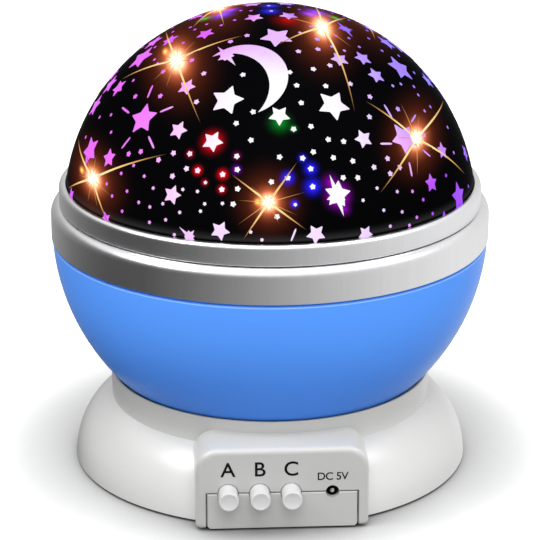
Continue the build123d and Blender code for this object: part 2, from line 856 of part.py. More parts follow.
with BuildPart() as drive_pinion:
    # A tooth points at the ring gear's nearest side, where the ring has a tooth space
    pinion_root = pinion_pitch_radius - dedendum * gear_module
    pinion_tip = pinion_pitch_radius + pinion_addendum * gear_module
    with BuildSketch(Plane.XY.offset(pinion_bottom)):
        with BuildLine(Location((0, -gear_distance))):
            Polyline(*gear_outline(pinion_teeth, pinion_root, pinion_tip, tooth_slack, -90), close=True)
        make_face()
    extrude(amount=pinion_height)
    with BuildSketch(Plane.XY.offset(pinion_bottom)):
        with Locations((0, -gear_distance)):
            Circle(shaft_radius)
        with Locations((0, -gear_distance + shaft_radius - shaft_flat)):
            Rectangle(2 * shaft_radius, shaft_radius, align=(Align.CENTER, Align.MIN), mode=Mode.SUBTRACT)
    extrude(amount=pinion_height, mode=Mode.SUBTRACT)
drive_pinion.part.label = "drive_pinion"
export_step(drive_pinion.part, "parts/drive_pinion.step")


with BuildPart() as drive_ring:
    # Internal gear: a disc with a toothed hole, screwed to the underside of the bowl
    space_tip = ring_pitch_radius + dedendum * gear_module
    space_root = ring_pitch_radius - ring_addendum * gear_module
    with BuildSketch(Plane.XY.offset(bowl_floor - ring_height)):
        Circle(drive_ring_radius)
        with BuildLine():
            Polyline(*gear_outline(ring_teeth, space_root, space_tip, -tooth_slack, -90), close=True)
        make_face(mode=Mode.SUBTRACT)
    extrude(amount=ring_height)
    with Locations((0, 0, bowl_floor - ring_height)):
        with PolarLocations(ring_screw_circle_radius, ring_screw_count, start_angle=ring_screw_start):
            Cylinder(small_screw_radius, ring_height, align=UPRIGHT, mode=Mode.SUBTRACT)
            Cylinder(
                small_head_radius + seam,
                small_head_height + seam,
                align=UPRIGHT,
                mode=Mode.SUBTRACT,
            )
drive_ring.part.label = "drive_ring"
export_step(drive_ring.part, "parts/drive_ring.step")


with BuildPart() as ring_screws:
    with Locations((0, 0, bowl_floor - ring_height + small_head_height + seam)):
        with PolarLocations(ring_screw_circle_radius, ring_screw_count, start_angle=ring_screw_start):
            screw(small_head_radius, small_head_height, small_screw_radius, ring_screw_length)
ring_screws.part.label = "ring_screws"
export_step(ring_screws.part, "parts/ring_screws.step")


# ---------------------------------------------------------------------------------------------
# Lamp post, bearing and lamps
# ---------------------------------------------------------------------------------------------

with BuildPart() as lamp_post:
    # Hollow post: screwed flange, thrust shoulder, journal, tube and table for the lamp board
    with BuildSketch(Plane.XZ):
        with BuildLine():
            Polyline(
                (post_bore, deck_top),
                (post_flange_radius, deck_top),
                (post_flange_radius, flange_top),
                (thrust_radius, flange_top),
                (thrust_radius, thrust_top),
                (journal_radius, thrust_top),
                (journal_radius, journal_top),
                (post_radius, journal_top),
                (post_radius, post_top - post_table),
                (led_board_radius - post_table, post_top - post_table / 2),
                (led_board_radius - post_table, post_top),
                (post_bore, post_top),
                close=True,
            )
        make_face()
    revolve(axis=Axis.Z)
    with Locations((0, 0, flange_top)):
        with PolarLocations(post_screw_circle_radius, post_screw_count, start_angle=post_screw_start):
            Cylinder(small_screw_radius, 2 * post_flange_thickness, mode=Mode.SUBTRACT)
lamp_post.part.label = "lamp_post"
export_step(lamp_post.part, "parts/lamp_post.step")


with BuildPart() as post_screws:
    with Locations((0, 0, flange_top)):
        with PolarLocations(post_screw_circle_radius, post_screw_count, start_angle=post_screw_start):
            Cylinder(small_head_radius, small_head_height, align=UPRIGHT)
            Cylinder(small_screw_radius, post_flange_thickness + deck_screw_bite, align=HANGING)
post_screws.part.label = "post_screws"
export_step(post_screws.part, "parts/post_screws.step")


with BuildPart() as glide_washer:
    with BuildSketch(Plane.XY.offset(thrust_top)):
        Circle(washer_radius)
        Circle(journal_radius, mode=Mode.SUBTRACT)
    extrude(amount=washer_thickness)
glide_washer.part.label = "glide_washer"
export_step(glide_washer.part, "parts/glide_washer.step")


with BuildPart() as hub_retainer:
    # Push-on ring: spring tongues between radial slots grip the post
    with BuildSketch(Plane.XY.offset(journal_top)):
        Circle(retainer_radius)
        Circle(post_radius, mode=Mode.SUBTRACT)
        with PolarLocations(post_radius, retainer_slots):
            Rectangle(2 * retainer_slot_depth, retainer_slot_width, mode=Mode.SUBTRACT)
    extrude(amount=retainer_thickness)
hub_retainer.part.label = "hub_retainer"
export_step(hub_retainer.part, "parts/hub_retainer.step")


with BuildPart() as led_board:
    with BuildSketch(Plane.XY.offset(post_top)):
        Circle(led_board_radius)
    extrude(amount=led_board_thickness)
led_board.part.label = "led_board"
export_step(led_board.part, "parts/led_board.step")


for number, name in enumerate(led_names):
    with BuildPart() as led:
        with Locations((0, 0, led_board_top)):
            with PolarLocations(led_circle_radius, 1, start_angle=45 + 90 * number):
                Cylinder(led_radius + led_flange, 2 * led_flange, align=UPRIGHT)
                Cylinder(led_radius, led_length - led_radius, align=UPRIGHT)
        with Locations((0, 0, led_board_top + led_length - led_radius)):
            with PolarLocations(led_circle_radius, 1, start_angle=45 + 90 * number):
                Sphere(led_radius)
    led.part.label = f"led_{name}"
    export_step(led.part, f"parts/led_{name}.step")


# ---------------------------------------------------------------------------------------------
# Turning head: bowl, trim ring and reflector deck
# ---------------------------------------------------------------------------------------------

with BuildPart() as bowl:
    # Blown shell on a flat floor with the bearing hub in its middle
    with BuildSketch(Plane.XZ):
        with BuildLine():
            floor_edge = (floor_radius, bowl_floor)
            brim = (radius_at(ring_bottom - seam_height, bowl_radius, bowl_centre), brim_height)
            Line((hub_bore, bowl_floor), floor_edge)
            RadiusArc(floor_edge, brim, -bowl_radius)
            inner_foot = (radius_at(floor_top, bowl_inner, bowl_centre), floor_top)
            inner_brim = (rim_inner, bowl_centre - depth_at(rim_inner, bowl_inner))
            Polyline(brim, (rim_outer, brim_height), (rim_outer, rim_top), (rim_inner, rim_top), inner_brim)
            RadiusArc(inner_brim, inner_foot, bowl_inner)
            Polyline(
                inner_foot,
                (hub_radius, floor_top),
                (hub_radius, hub_top),
                (hub_bore, hub_top),
                (hub_bore, bowl_floor),
            )
        make_face()
    revolve(axis=Axis.Z)

    # Bosses for the reflector deck, grown out of the wall
    with Locations((0, 0, deck_boss_foot)):
        with PolarLocations(deck_boss_circle_radius, deck_boss_count):
            Cylinder(boss_radius, deck_boss_top - deck_boss_foot, align=UPRIGHT)
    with Locations((0, 0, deck_boss_top)):
        with PolarLocations(deck_boss_circle_radius, deck_boss_count):
            Cylinder(small_screw_radius, deck_screw_depth, align=HANGING, mode=Mode.SUBTRACT)

    # Bosses on the floor over the ring gear's screws
    with Locations((0, 0, floor_top)):
        with PolarLocations(ring_screw_circle_radius, ring_screw_count, start_angle=ring_screw_start):
            Cylinder(small_boss_radius, ring_boss_height, align=UPRIGHT)
    with Locations((0, 0, bowl_floor)):
        with PolarLocations(ring_screw_circle_radius, ring_screw_count, start_angle=ring_screw_start):
            Cylinder(
                small_screw_radius,
                ring_screw_length - (ring_height - small_head_height - seam),
                align=UPRIGHT,
                mode=Mode.SUBTRACT,
            )
bowl.part.label = "bowl"
export_step(bowl.part, "parts/bowl.step")


with BuildPart() as trim_ring:
    # Band, rounded shoulder and upright spigot in one section
    with BuildSketch(Plane.XZ):
        with BuildLine():
            shoulder_edge = (ring_radius - ring_shoulder, shoulder_top)
            Line((ring_radius, ring_bottom), (ring_radius, ring_top))
            RadiusArc((ring_radius, ring_top), shoulder_edge, -ring_shoulder)
            Polyline(
                shoulder_edge,
                (spigot_radius, shoulder_top),
                (spigot_radius, spigot_top),
                (spigot_radius - spigot_wall, spigot_top),
                (spigot_radius - spigot_wall, web_under),
                (ring_radius - ring_wall, web_under),
                (ring_radius - ring_wall, ring_bottom),
                (ring_radius, ring_bottom),
            )
        make_face()
    revolve(axis=Axis.Z)

    # Bayonet slots: an open leg for each lug and a lower leg to turn it into
    slot_width = lug_width + 2 * slot_margin
    slot_turn = degrees(lug_width / spigot_radius)
    slot_floor = shoulder_top + slot_sill
    with Locations((0, 0, slot_floor)):
        with PolarLocations(spigot_radius, bayonet_count, start_angle=bayonet_start):
            Box(4 * spigot_wall, slot_width, spigot_height, align=UPRIGHT, mode=Mode.SUBTRACT)
        with PolarLocations(spigot_radius, bayonet_count, start_angle=bayonet_start + slot_turn):
            Box(
                4 * spigot_wall,
                slot_width,
                lug_height + 2 * slot_margin,
                align=UPRIGHT,
                mode=Mode.SUBTRACT,
            )
trim_ring.part.label = "trim_ring"
export_step(trim_ring.part, "parts/trim_ring.step")


with BuildPart() as inner_deck:
    # Flat annular reflector with a raised lip round the lamp board and a rolled outer edge
    with BuildSketch(Plane.XZ):
        with BuildLine():
            deck_face = deck_boss_top + reflector_thickness
            deck_rim = rim_inner - reflector_play
            Polyline(
                (reflector_hole, deck_boss_top),
                (deck_rim, deck_boss_top),
                (deck_rim, deck_face + reflector_lip / 2),
                (deck_rim - reflector_thickness, deck_face + reflector_lip / 2),
                (deck_rim - 2 * reflector_thickness, deck_face),
                (reflector_hole + 2 * reflector_thickness, deck_face),
                (reflector_hole + reflector_thickness, deck_face + reflector_lip),
                (reflector_hole, deck_face + reflector_lip),
                close=True,
            )
        make_face()
    revolve(axis=Axis.Z)
    with Locations((0, 0, deck_boss_top)):
        with PolarLocations(deck_boss_circle_radius, deck_boss_count):
            Cylinder(small_screw_radius, 2 * reflector_lip, mode=Mode.SUBTRACT)
inner_deck.part.label = "inner_deck"
export_step(inner_deck.part, "parts/inner_deck.step")


with BuildPart() as deck_screws:
    with Locations((0, 0, deck_boss_top + reflector_thickness)):
        with PolarLocations(deck_boss_circle_radius, deck_boss_count):
            Cylinder(small_head_radius, small_head_height, align=UPRIGHT)
            Cylinder(small_screw_radius, reflector_thickness + deck_screw_depth, align=HANGING)
deck_screws.part.label = "deck_screws"
export_step(deck_screws.part, "parts/deck_screws.step")


# ---------------------------------------------------------------------------------------------
# Dome
# ---------------------------------------------------------------------------------------------

with BuildPart() as star_dome:
    with BuildSketch(Plane.XZ):
        with BuildLine():
            outer_foot = (radius_at(dome_bottom, dome_radius, dome_centre), dome_bottom)
            inner_foot = (radius_at(dome_bottom, dome_inner, dome_centre), dome_bottom)
            RadiusArc(outer_foot, (0, dome_centre + dome_radius), -dome_radius)
            Line((0, dome_centre + dome_radius), (0, dome_centre + dome_inner))
            RadiusArc((0, dome_centre + dome_inner), inner_foot, dome_inner)
            Line(inner_foot, outer_foot)
        make_face()
    revolve(axis=Axis.Z)
    with Locations((0, 0, slot_floor + moving_gap)):
        with PolarLocations(lug_inside, bayonet_count, start_angle=bayonet_start):
            Box(
                dome_inner + dome_wall / 4 - lug_inside,
                lug_width,
                lug_height,
                align=(Align.MIN, Align.CENTER, Align.MIN),
            )
star_dome.part.label = "star_dome"
export_step(star_dome.part, "parts/star_dome.step")


with BuildPart() as dome_collar:
    # Silver band that hugs the dome's foot, with a rounded upper lip
    band_top = dome_bottom + band_height
    with BuildSketch(Plane.XZ):
        with BuildLine():
            band_inner_foot = (radius_at(dome_bottom, dome_radius, dome_centre), dome_bottom)
            band_inner_top = (radius_at(band_top, dome_radius, dome_centre), band_top)
            Polyline(band_inner_foot, (band_radius, dome_bottom), (band_radius, band_top - band_round))
            RadiusArc(
                (band_radius, band_top - band_round),
                (band_radius - band_round, band_top),
                -band_round,
            )
            Line((band_radius - band_round, band_top), band_inner_top)
            RadiusArc(band_inner_top, band_inner_foot, dome_radius)
        make_face()
    revolve(axis=Axis.Z)
dome_collar.part.label = "dome_collar"
export_step(dome_collar.part, "parts/dome_collar.step")


# ---------------------------------------------------------------------------------------------
# Leads
# ---------------------------------------------------------------------------------------------

lead_height = deck_bottom - lead_space / 2

with BuildPart() as led_leads:
    # Three wires from the lamp board, down the post and along the deck's underside
    for number in (-1, 0, 1):
        shift = number * lead_pitch
        lead(
            (
                (shift, 0, post_top),
                (shift, 0, lead_height),
                (shift - lead_side, -lead_side, lead_height),
                (shift - lead_side, -board_back, lead_height),
            )
        )
led_leads.part.label = "led_leads"
export_step(led_leads.part, "parts/led_leads.step")


with BuildPart() as battery_leads:
    # Two wires from the front wall of the battery box to the control board
    lead_run = board_back - box_front_reach
    for number in (0, 1):
        start = -lead_side - number * lead_pitch
        lead(
            (
                (start, -box_front_reach, cell_axis),
                (start, -box_front_reach - lead_run / 3, cell_axis),
                (start - lead_bend, -board_back + lead_run / 3, cell_axis),
                (start - lead_bend, -board_back, cell_axis),
            )
        )
battery_leads.part.label = "battery_leads"
export_step(battery_leads.part, "parts/battery_leads.step")


with BuildPart() as motor_leads:
    # Two wires from the motor's flat front side to the control board
    motor_front = gear_distance + motor_width / 2
    for number in (0, 1):
        start = gearbox_width / 2 + motor_length - 2 * lead_bend + number * lead_pitch
        turn = board_back - 2 * lead_bend - lead_pitch + number * lead_pitch
        end = button_places[-1] + number * lead_pitch
        lead(
            (
                (start, -motor_front, motor_axis_z),
                (start, -turn, motor_axis_z),
                (end, -turn, motor_axis_z),
                (end, -board_back, motor_axis_z),
            )
        )
motor_leads.part.label = "motor_leads"
export_step(motor_leads.part, "parts/motor_leads.step")
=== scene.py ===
"""Star night light projector: finishes, star windows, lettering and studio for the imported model.

Lengths are in metres, +Z is up, the control panel faces -Y, and the bowl and dome turn about +Z.
"""

import logging
from collections.abc import Callable, Iterable, Sequence
from dataclasses import dataclass, replace
from enum import Enum
from functools import cache
from math import acos, atan2, cos, degrees, pi, radians, sin, sqrt

import bpy
from mathutils import Matrix, Vector


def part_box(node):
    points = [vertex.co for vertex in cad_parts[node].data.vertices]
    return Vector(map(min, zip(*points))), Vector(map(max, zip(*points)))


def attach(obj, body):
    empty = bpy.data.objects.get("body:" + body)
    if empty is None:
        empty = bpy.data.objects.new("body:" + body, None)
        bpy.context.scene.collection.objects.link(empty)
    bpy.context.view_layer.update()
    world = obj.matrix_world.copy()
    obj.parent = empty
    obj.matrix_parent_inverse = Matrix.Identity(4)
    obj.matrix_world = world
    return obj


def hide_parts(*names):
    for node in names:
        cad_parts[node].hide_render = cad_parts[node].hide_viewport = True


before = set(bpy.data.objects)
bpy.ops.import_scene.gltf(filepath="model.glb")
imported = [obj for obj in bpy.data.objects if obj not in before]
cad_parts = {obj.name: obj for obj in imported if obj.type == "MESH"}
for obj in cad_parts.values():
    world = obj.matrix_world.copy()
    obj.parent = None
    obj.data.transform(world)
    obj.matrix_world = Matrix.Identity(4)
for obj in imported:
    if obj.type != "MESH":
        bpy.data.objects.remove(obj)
LOG = logging.getLogger("star_night_light")

Colour = tuple[float, float, float]
Point = tuple[float, float]
Piece = bpy.types.Object
Material = bpy.types.Material
Node = bpy.types.Node
Socket = bpy.types.NodeSocket
Sockets = bpy.types.bpy_prop_collection
Tree = bpy.types.NodeTree

MM = 0.001
MERGE = 1e-7
CRISP = radians(30)
NO_MOVE = Matrix.Identity(4)
BLACK = (0.0, 0.0, 0.0)
WHITE = (1.0, 1.0, 1.0)


# Bench: the modelling steps that the pieces share
# ----------------------------------------


def use_mode(mode: str) -> None:
    """Put the active piece in EDIT or OBJECT mode."""
    bpy.ops.object.mode_set(mode=mode)


def select_all() -> None:
    """Select the whole mesh in edit mode."""
    bpy.ops.mesh.select_all(action="SELECT")


def clear_selection() -> None:
    """Leave edit mode and deselect every object."""
    if bpy.context.object and bpy.context.object.mode != "OBJECT":
        use_mode("OBJECT")
    bpy.ops.object.select_all(action="DESELECT")


def choose(piece: Piece) -> None:
    """Make one piece the only selected and active one.

    Args:
        piece: The piece to work on.
    """
    clear_selection()
    piece.select_set(True)
    bpy.context.view_layer.objects.active = piece


def edit(piece: Piece, action: str = "SELECT") -> None:
    """Enter edit mode on a piece.

    Args:
        piece: The piece to work on.
        action: SELECT or DESELECT for all of it.
    """
    choose(piece)
    use_mode("EDIT")
    bpy.ops.mesh.select_mode(type="VERT")
    bpy.ops.mesh.select_all(action=action)


def pick(piece: Piece, test: Callable[[Vector], bool]) -> None:
    """Enter edit mode on a piece with some of its vertices selected.

    Args:
        piece: The piece to work on.
        test: Says whether a vertex at a place is wanted.
    """
    edit(piece, "DESELECT")
    use_mode("OBJECT")
    for vertex in piece.data.vertices:
        vertex.select = test(vertex.co)
    use_mode("EDIT")


def widen(wide: float, high: float, middle: float = 0.0) -> None:
    """Stretch what is selected along X and Y about a place on the X axis."""
    bpy.ops.transform.resize(value=(wide, high, 1), center_override=(middle, 0, 0))


def set_down(piece: Piece, name: str) -> Piece:
    """Put a piece's place in its mesh, smooth its curves and name it.

    Args:
        piece: The chosen piece.
        name: Its name.

    Returns:
        The same piece.
    """
    bpy.ops.object.transform_apply(location=True, rotation=True, scale=True)
    bpy.ops.object.shade_smooth_by_angle(angle=CRISP)
    piece.name = name
    piece.data.name = name
    return piece


def settle(piece: Piece, name: str) -> Piece:
    """Close a piece, point its faces outwards and set it down.

    Args:
        piece: The piece to finish.
        name: Its name.

    Returns:
        The same piece.
    """
    edit(piece)
    bpy.ops.mesh.remove_doubles(threshold=MERGE)
    bpy.ops.mesh.normals_make_consistent(inside=False)
    use_mode("OBJECT")
    return set_down(piece, name)


def apply_modifier(piece: Piece, kind: str, **values: object) -> None:
    """Add a modifier with its values and apply it.

    Args:
        piece: The piece to change.
        kind: Blender's name for the modifier's type.
        **values: Its properties.
    """
    choose(piece)
    modifier = piece.modifiers.new(kind.title(), kind)
    for key, value in values.items():
        setattr(modifier, key, value)
    bpy.ops.object.modifier_apply(modifier=modifier.name)


def lone_vertex() -> Piece:
    """A piece of one vertex at the origin, in edit mode and selected.

    Returns:
        The piece.
    """
    clear_selection()
    bpy.ops.mesh.primitive_plane_add(size=MM)
    piece = bpy.context.object
    edit(piece)
    bpy.ops.mesh.merge(type="CENTER")
    return piece


def turned(name: str, section: Sequence[Point], steps: int = 180, closed: bool = True) -> Piece:
    """Turn a section about the vertical axis.

    Args:
        name: The piece's name.
        section: Corners as (radius, height), without the first one again at the end.
        steps: Facets round the turn.
        closed: Whether the section's last corner joins its first; not where both are on the axis.

    Returns:
        The turned piece.
    """
    piece = lone_vertex()
    bpy.ops.transform.translate(value=(section[0][0], 0, section[0][1]))
    loop = [*section, section[0]] if closed else list(section)
    for (radius, height), (next_radius, next_height) in zip(loop, loop[1:]):
        shift = (next_radius - radius, 0, next_height - height)
        bpy.ops.mesh.extrude_region_move(TRANSFORM_OT_translate={"value": shift})
    select_all()
    bpy.ops.mesh.remove_doubles(threshold=MERGE)
    select_all()
    bpy.ops.mesh.spin(steps=steps, angle=2 * pi, center=(0, 0, 0), axis=(0, 0, 1))
    return settle(piece, name)


def arc(centre: Point, radius: float, start: float, end: float, count: int) -> list[Point]:
    """Points along an arc of a section, both ends included.

    Args:
        centre: Its centre.
        radius: Its radius.
        start: Angle of its first point in degrees, from the outward direction upwards.
        end: Angle of its last point.
        count: Number of points.

    Returns:
        The points.
    """
    angles = [radians(start + (end - start) * step / (count - 1)) for step in range(count)]
    return [(centre[0] + radius * cos(a), centre[1] + radius * sin(a)) for a in angles]


def copied(master: Piece, place: Matrix) -> Piece:
    """Copy a modelled piece with a mesh of its own.

    Args:
        master: The piece to copy.
        place: Where the copy goes.

    Returns:
        The copy.
    """
    copy = master.copy()
    copy.data = master.data.copy()
    copy.data.transform(place)
    bpy.context.collection.objects.link(copy)
    return copy


def joined(parts: Sequence[Piece]) -> Piece:
    """Join several pieces.

    Args:
        parts: The pieces.

    Returns:
        The first of them, with the others in it.
    """
    choose(parts[0])
    for part in parts:
        part.select_set(True)
    bpy.ops.object.join()
    return parts[0]


def discard(piece: Piece) -> None:
    """Remove a helper object."""
    bpy.data.objects.remove(piece, do_unlink=True)


def own_material(piece: Piece, material: Material) -> None:
    """Give a new piece its one material."""
    piece.data.materials.clear()
    piece.data.materials.append(material)


def dress(material: Material, *nodes: str) -> None:
    """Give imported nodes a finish."""
    for entry in (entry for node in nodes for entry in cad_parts[node].material_slots):
        entry.material = material


def report(piece: Piece) -> None:
    """Report a finished piece."""
    LOG.info("%s: %d faces", piece.name, len(piece.data.polygons))


# Finishes
# ----------------------------------------


class Sheet:
    """A node tree with short calls for adding nodes and joining them.

    Attributes:
        tree: The node tree that is drawn on.
    """

    def __init__(self, tree: Tree) -> None:
        """Start from an empty tree."""
        self.tree = tree
        self.tree.nodes.clear()

    def add(self, kind: str, *inputs: object, **values: object) -> Node:
        """Add a node.

        Args:
            kind: Its type, without the ShaderNode in front.
            *inputs: For each input in order: a socket to join, a value to set, or None to leave it.
            **values: Its properties.

        Returns:
            The node.
        """
        node = self.tree.nodes.new(kind if kind.startswith("Node") else "ShaderNode" + kind)
        for key, value in values.items():
            setattr(node, key, value)
        for number, value in enumerate(inputs):
            self.put(node.inputs[number], value)
        return node

    def put(self, socket: Socket, value: object) -> None:
        """Join a socket to another, or set its value.

        Args:
            socket: The socket.
            value: The other socket, the value, or None to leave it as it is.
        """
        if isinstance(value, Socket):
            self.tree.links.new(value, socket)
        elif value is not None:
            if socket.type == "RGBA" and len(value) == 3:
                value = (*value, 1.0)
            socket.default_value = value

    def wire(self, node: Node, **values: object) -> Sockets:
        """Join or set a node's inputs by name.

        Args:
            node: The node.
            **values: Input names, with spaces written as underscores, and their values or sockets.

        Returns:
            The node's outputs.
        """
        for key, value in values.items():
            self.put(node.inputs[key.replace("_", " ")], value)
        return node.outputs

    def sums(self, operation: str, *inputs: object) -> Socket:
        """A Math node's result."""
        return self.add("Math", *inputs, operation=operation).outputs[0]

    def times(self, first: object, *others: object) -> Socket:
        """The product of several values."""
        for other in others:
            first = self.sums("MULTIPLY", first, other)
        return first

    def vector(self, operation: str, *inputs: object) -> Socket:
        """A Vector Math node's result, the number for an operation that gives one."""
        outputs = self.add("VectorMath", *inputs, operation=operation).outputs
        return outputs["Value" if operation in ("DISTANCE", "DOT_PRODUCT", "LENGTH") else "Vector"]

    def scaled(self, colour: object, amount: object) -> Socket:
        """A colour times a number."""
        return self.vector("SCALE", colour, None, None, amount)

    def remap(self, value: object, low: float, high: float, to: Point = (0, 1)) -> Socket:
        """A value smoothly remapped from one range to another and held inside it."""
        return self.add("MapRange", value, low, high, *to, interpolation_type="SMOOTHSTEP").outputs[0]

    def blend(self, share: object, first: object, second: object, mode: str = "MIX") -> Socket:
        """Mix two colours.

        Args:
            share: Share of the second colour.
            first: The first colour.
            second: The second colour.
            mode: How they mix.

        Returns:
            The mixed colour.
        """
        node = self.add("Mix", share, data_type="RGBA", blend_type=mode)
        self.put(node.inputs[6], first)
        self.put(node.inputs[7], second)
        return node.outputs[2]

    def object_place(self) -> Socket:
        """The place on the piece, in its own coordinates."""
        return self.add("TexCoord").outputs["Object"]

    def axes(self, place: object = None) -> Sockets:
        """The X, Y and Z of a place, or of the place on the piece."""
        return self.add("SeparateXYZ", place or self.object_place()).outputs

    def noise(self, place: object, scale: object, detail: float = 3.0) -> Socket:
        """Noise at a place, from 0 to 1."""
        return self.wire(self.add("TexNoise"), Vector=place, Scale=scale, Detail=detail)["Fac"]

    def ramp(self, share: object, hues: Iterable[tuple[float, Colour]]) -> Socket:
        """Look a colour up in a ramp.

        Args:
            share: Where to look, from 0 to 1.
            hues: (share, colour) of each stop, in order.

        Returns:
            The colour.
        """
        node = self.add("ValToRGB", share)
        stops = node.color_ramp.elements
        for number, (at, hue) in enumerate(hues):
            stop = stops[number] if number < 2 else stops.new(at)
            stop.position = at
            stop.color = (*hue, 1)
        return node.outputs["Color"]

    def relief(self, shader: Node, height: object, depth: float) -> None:
        """Join a height from 0 to 1, which stands for a depth in metres, to the shader's normal."""
        bump = self.wire(self.add("Bump"), Strength=1.0, Distance=depth, Height=height)
        self.put(shader.inputs["Normal"], bump[0])


SURFACE = {"Colour": "Color", "Roughness": "Float", "Height": "Float"}


def new_effect(name: str, outputs: dict[str, str], **inputs: object) -> tuple[Sheet, Sockets]:
    """Start a node group for a shared effect.

    Args:
        name: Its name.
        outputs: Name to kind of each output.
        **inputs: Name, with underscores for spaces, and default of each input: four numbers for a
            colour, three for a vector.

    Returns:
        Its sheet and what is given to it.
    """
    tree = bpy.data.node_groups.new(name, "ShaderNodeTree")
    for key, value in inputs.items():
        kind = {4: "Color", 3: "Vector"}[len(value)] if isinstance(value, tuple) else "Float"
        label = key.replace("_", " ")
        socket = tree.interface.new_socket(name=label, in_out="INPUT", socket_type="NodeSocket" + kind)
        socket.default_value = value
    for key, kind in outputs.items():
        tree.interface.new_socket(name=key, in_out="OUTPUT", socket_type="NodeSocket" + kind)
    sheet = Sheet(tree)
    return sheet, sheet.add("NodeGroupInput").outputs


@cache
def moulded() -> Tree:
    """Moulded plastic: cloudy colour, uneven gloss and the fine waviness that a mould leaves.

    Returns:
        The node group.
    """
    looks = {"Colour": (0.8, 0.8, 0.8, 1), "Mottling": 0.04, "Roughness": 0.3, "Gloss_spread": 0.06, "Grain": 1500.0}
    sheet, given = new_effect("moulded_surface", SURFACE, **looks)
    place = sheet.object_place()
    cloud = sheet.noise(place, 38.0, 4.0)
    fine = sheet.noise(place, given["Grain"], 5.0)
    wave = sheet.noise(place, 120.0, 2.0)
    shade = sheet.sums("MULTIPLY_ADD", sheet.sums("SUBTRACT", cloud, 0.5), given["Mottling"], 1.0)
    uneven = sheet.sums("ADD", sheet.sums("SUBTRACT", fine, 0.5), sheet.sums("SUBTRACT", wave, 0.5))
    gloss = sheet.sums("MULTIPLY_ADD", uneven, given["Gloss spread"], given["Roughness"])
    height = sheet.sums("ADD", sheet.times(fine, 0.35), sheet.times(wave, 0.65))
    sheet.add("NodeGroupOutput", sheet.scaled(given["Colour"], shade), gloss, height)
    return sheet.tree


@cache
def brushed() -> Tree:
    """Brushed metal: streaks that run along the stretch, in shade, gloss and relief.

    Returns:
        The node group.
    """
    looks = {"Colour": (0.7, 0.7, 0.7, 1), "Scale": 1400.0, "Contrast": 0.16, "Roughness": 0.3}
    sheet, given = new_effect("brushed_metal", SURFACE, Place=BLACK, **looks)
    fine = sheet.noise(given["Place"], given["Scale"], 4.0)
    broad = sheet.noise(given["Place"], sheet.times(given["Scale"], 0.09), 3.0)
    streak = sheet.sums("ADD", sheet.times(fine, 0.5), sheet.times(broad, 0.5))
    centred = sheet.sums("SUBTRACT", streak, 0.5)
    shade = sheet.sums("MULTIPLY_ADD", centred, sheet.times(given["Contrast"], 2.0), 1.0)
    gloss = sheet.sums("MULTIPLY_ADD", centred, given["Contrast"], given["Roughness"])
    sheet.add("NodeGroupOutput", sheet.scaled(given["Colour"], shade), gloss, streak)
    return sheet.tree


@cache
def glowing() -> Tree:
    """Light that spreads in a tinted shell round a lit window, fading with distance.

    Returns:
        The node group.
    """
    tints = {"Colour": (1.0, 0.0, 0.0, 1), "Others": (0.0, 0.0, 0.0, 1)}
    sheet, given = new_effect("lamp_glow", {"Colour": "Color"}, Place=BLACK, Centre=BLACK, Reach=0.004, **tints)
    away = sheet.vector("DISTANCE", given["Place"], given["Centre"])
    share = sheet.sums("SUBTRACT", 1.0, sheet.sums("DIVIDE", away, given["Reach"]))
    falloff = sheet.sums("POWER", sheet.sums("MAXIMUM", share, 0.0), 3.2)
    lit = sheet.scaled(given["Colour"], falloff)
    sheet.add("NodeGroupOutput", sheet.vector("ADD", lit, given["Others"]))
    return sheet.tree


def use_effect(sheet: Sheet, effect: Callable[[], Tree], **values: object) -> Sockets:
    """Place a shared effect in a material; returns its outputs."""
    return sheet.wire(sheet.add("Group", node_tree=effect()), **values)


def new_material(name: str) -> tuple[Material, Sheet, Node]:
    """Start a material with a Principled shader joined to its output.

    Args:
        name: The material's name.

    Returns:
        The material, its sheet and the shader.
    """
    material = bpy.data.materials.new(name)
    material.use_nodes = True
    sheet = Sheet(material.node_tree)
    shader = sheet.add("BsdfPrincipled")
    sheet.add("OutputMaterial", shader.outputs[0])
    return material, sheet, shader


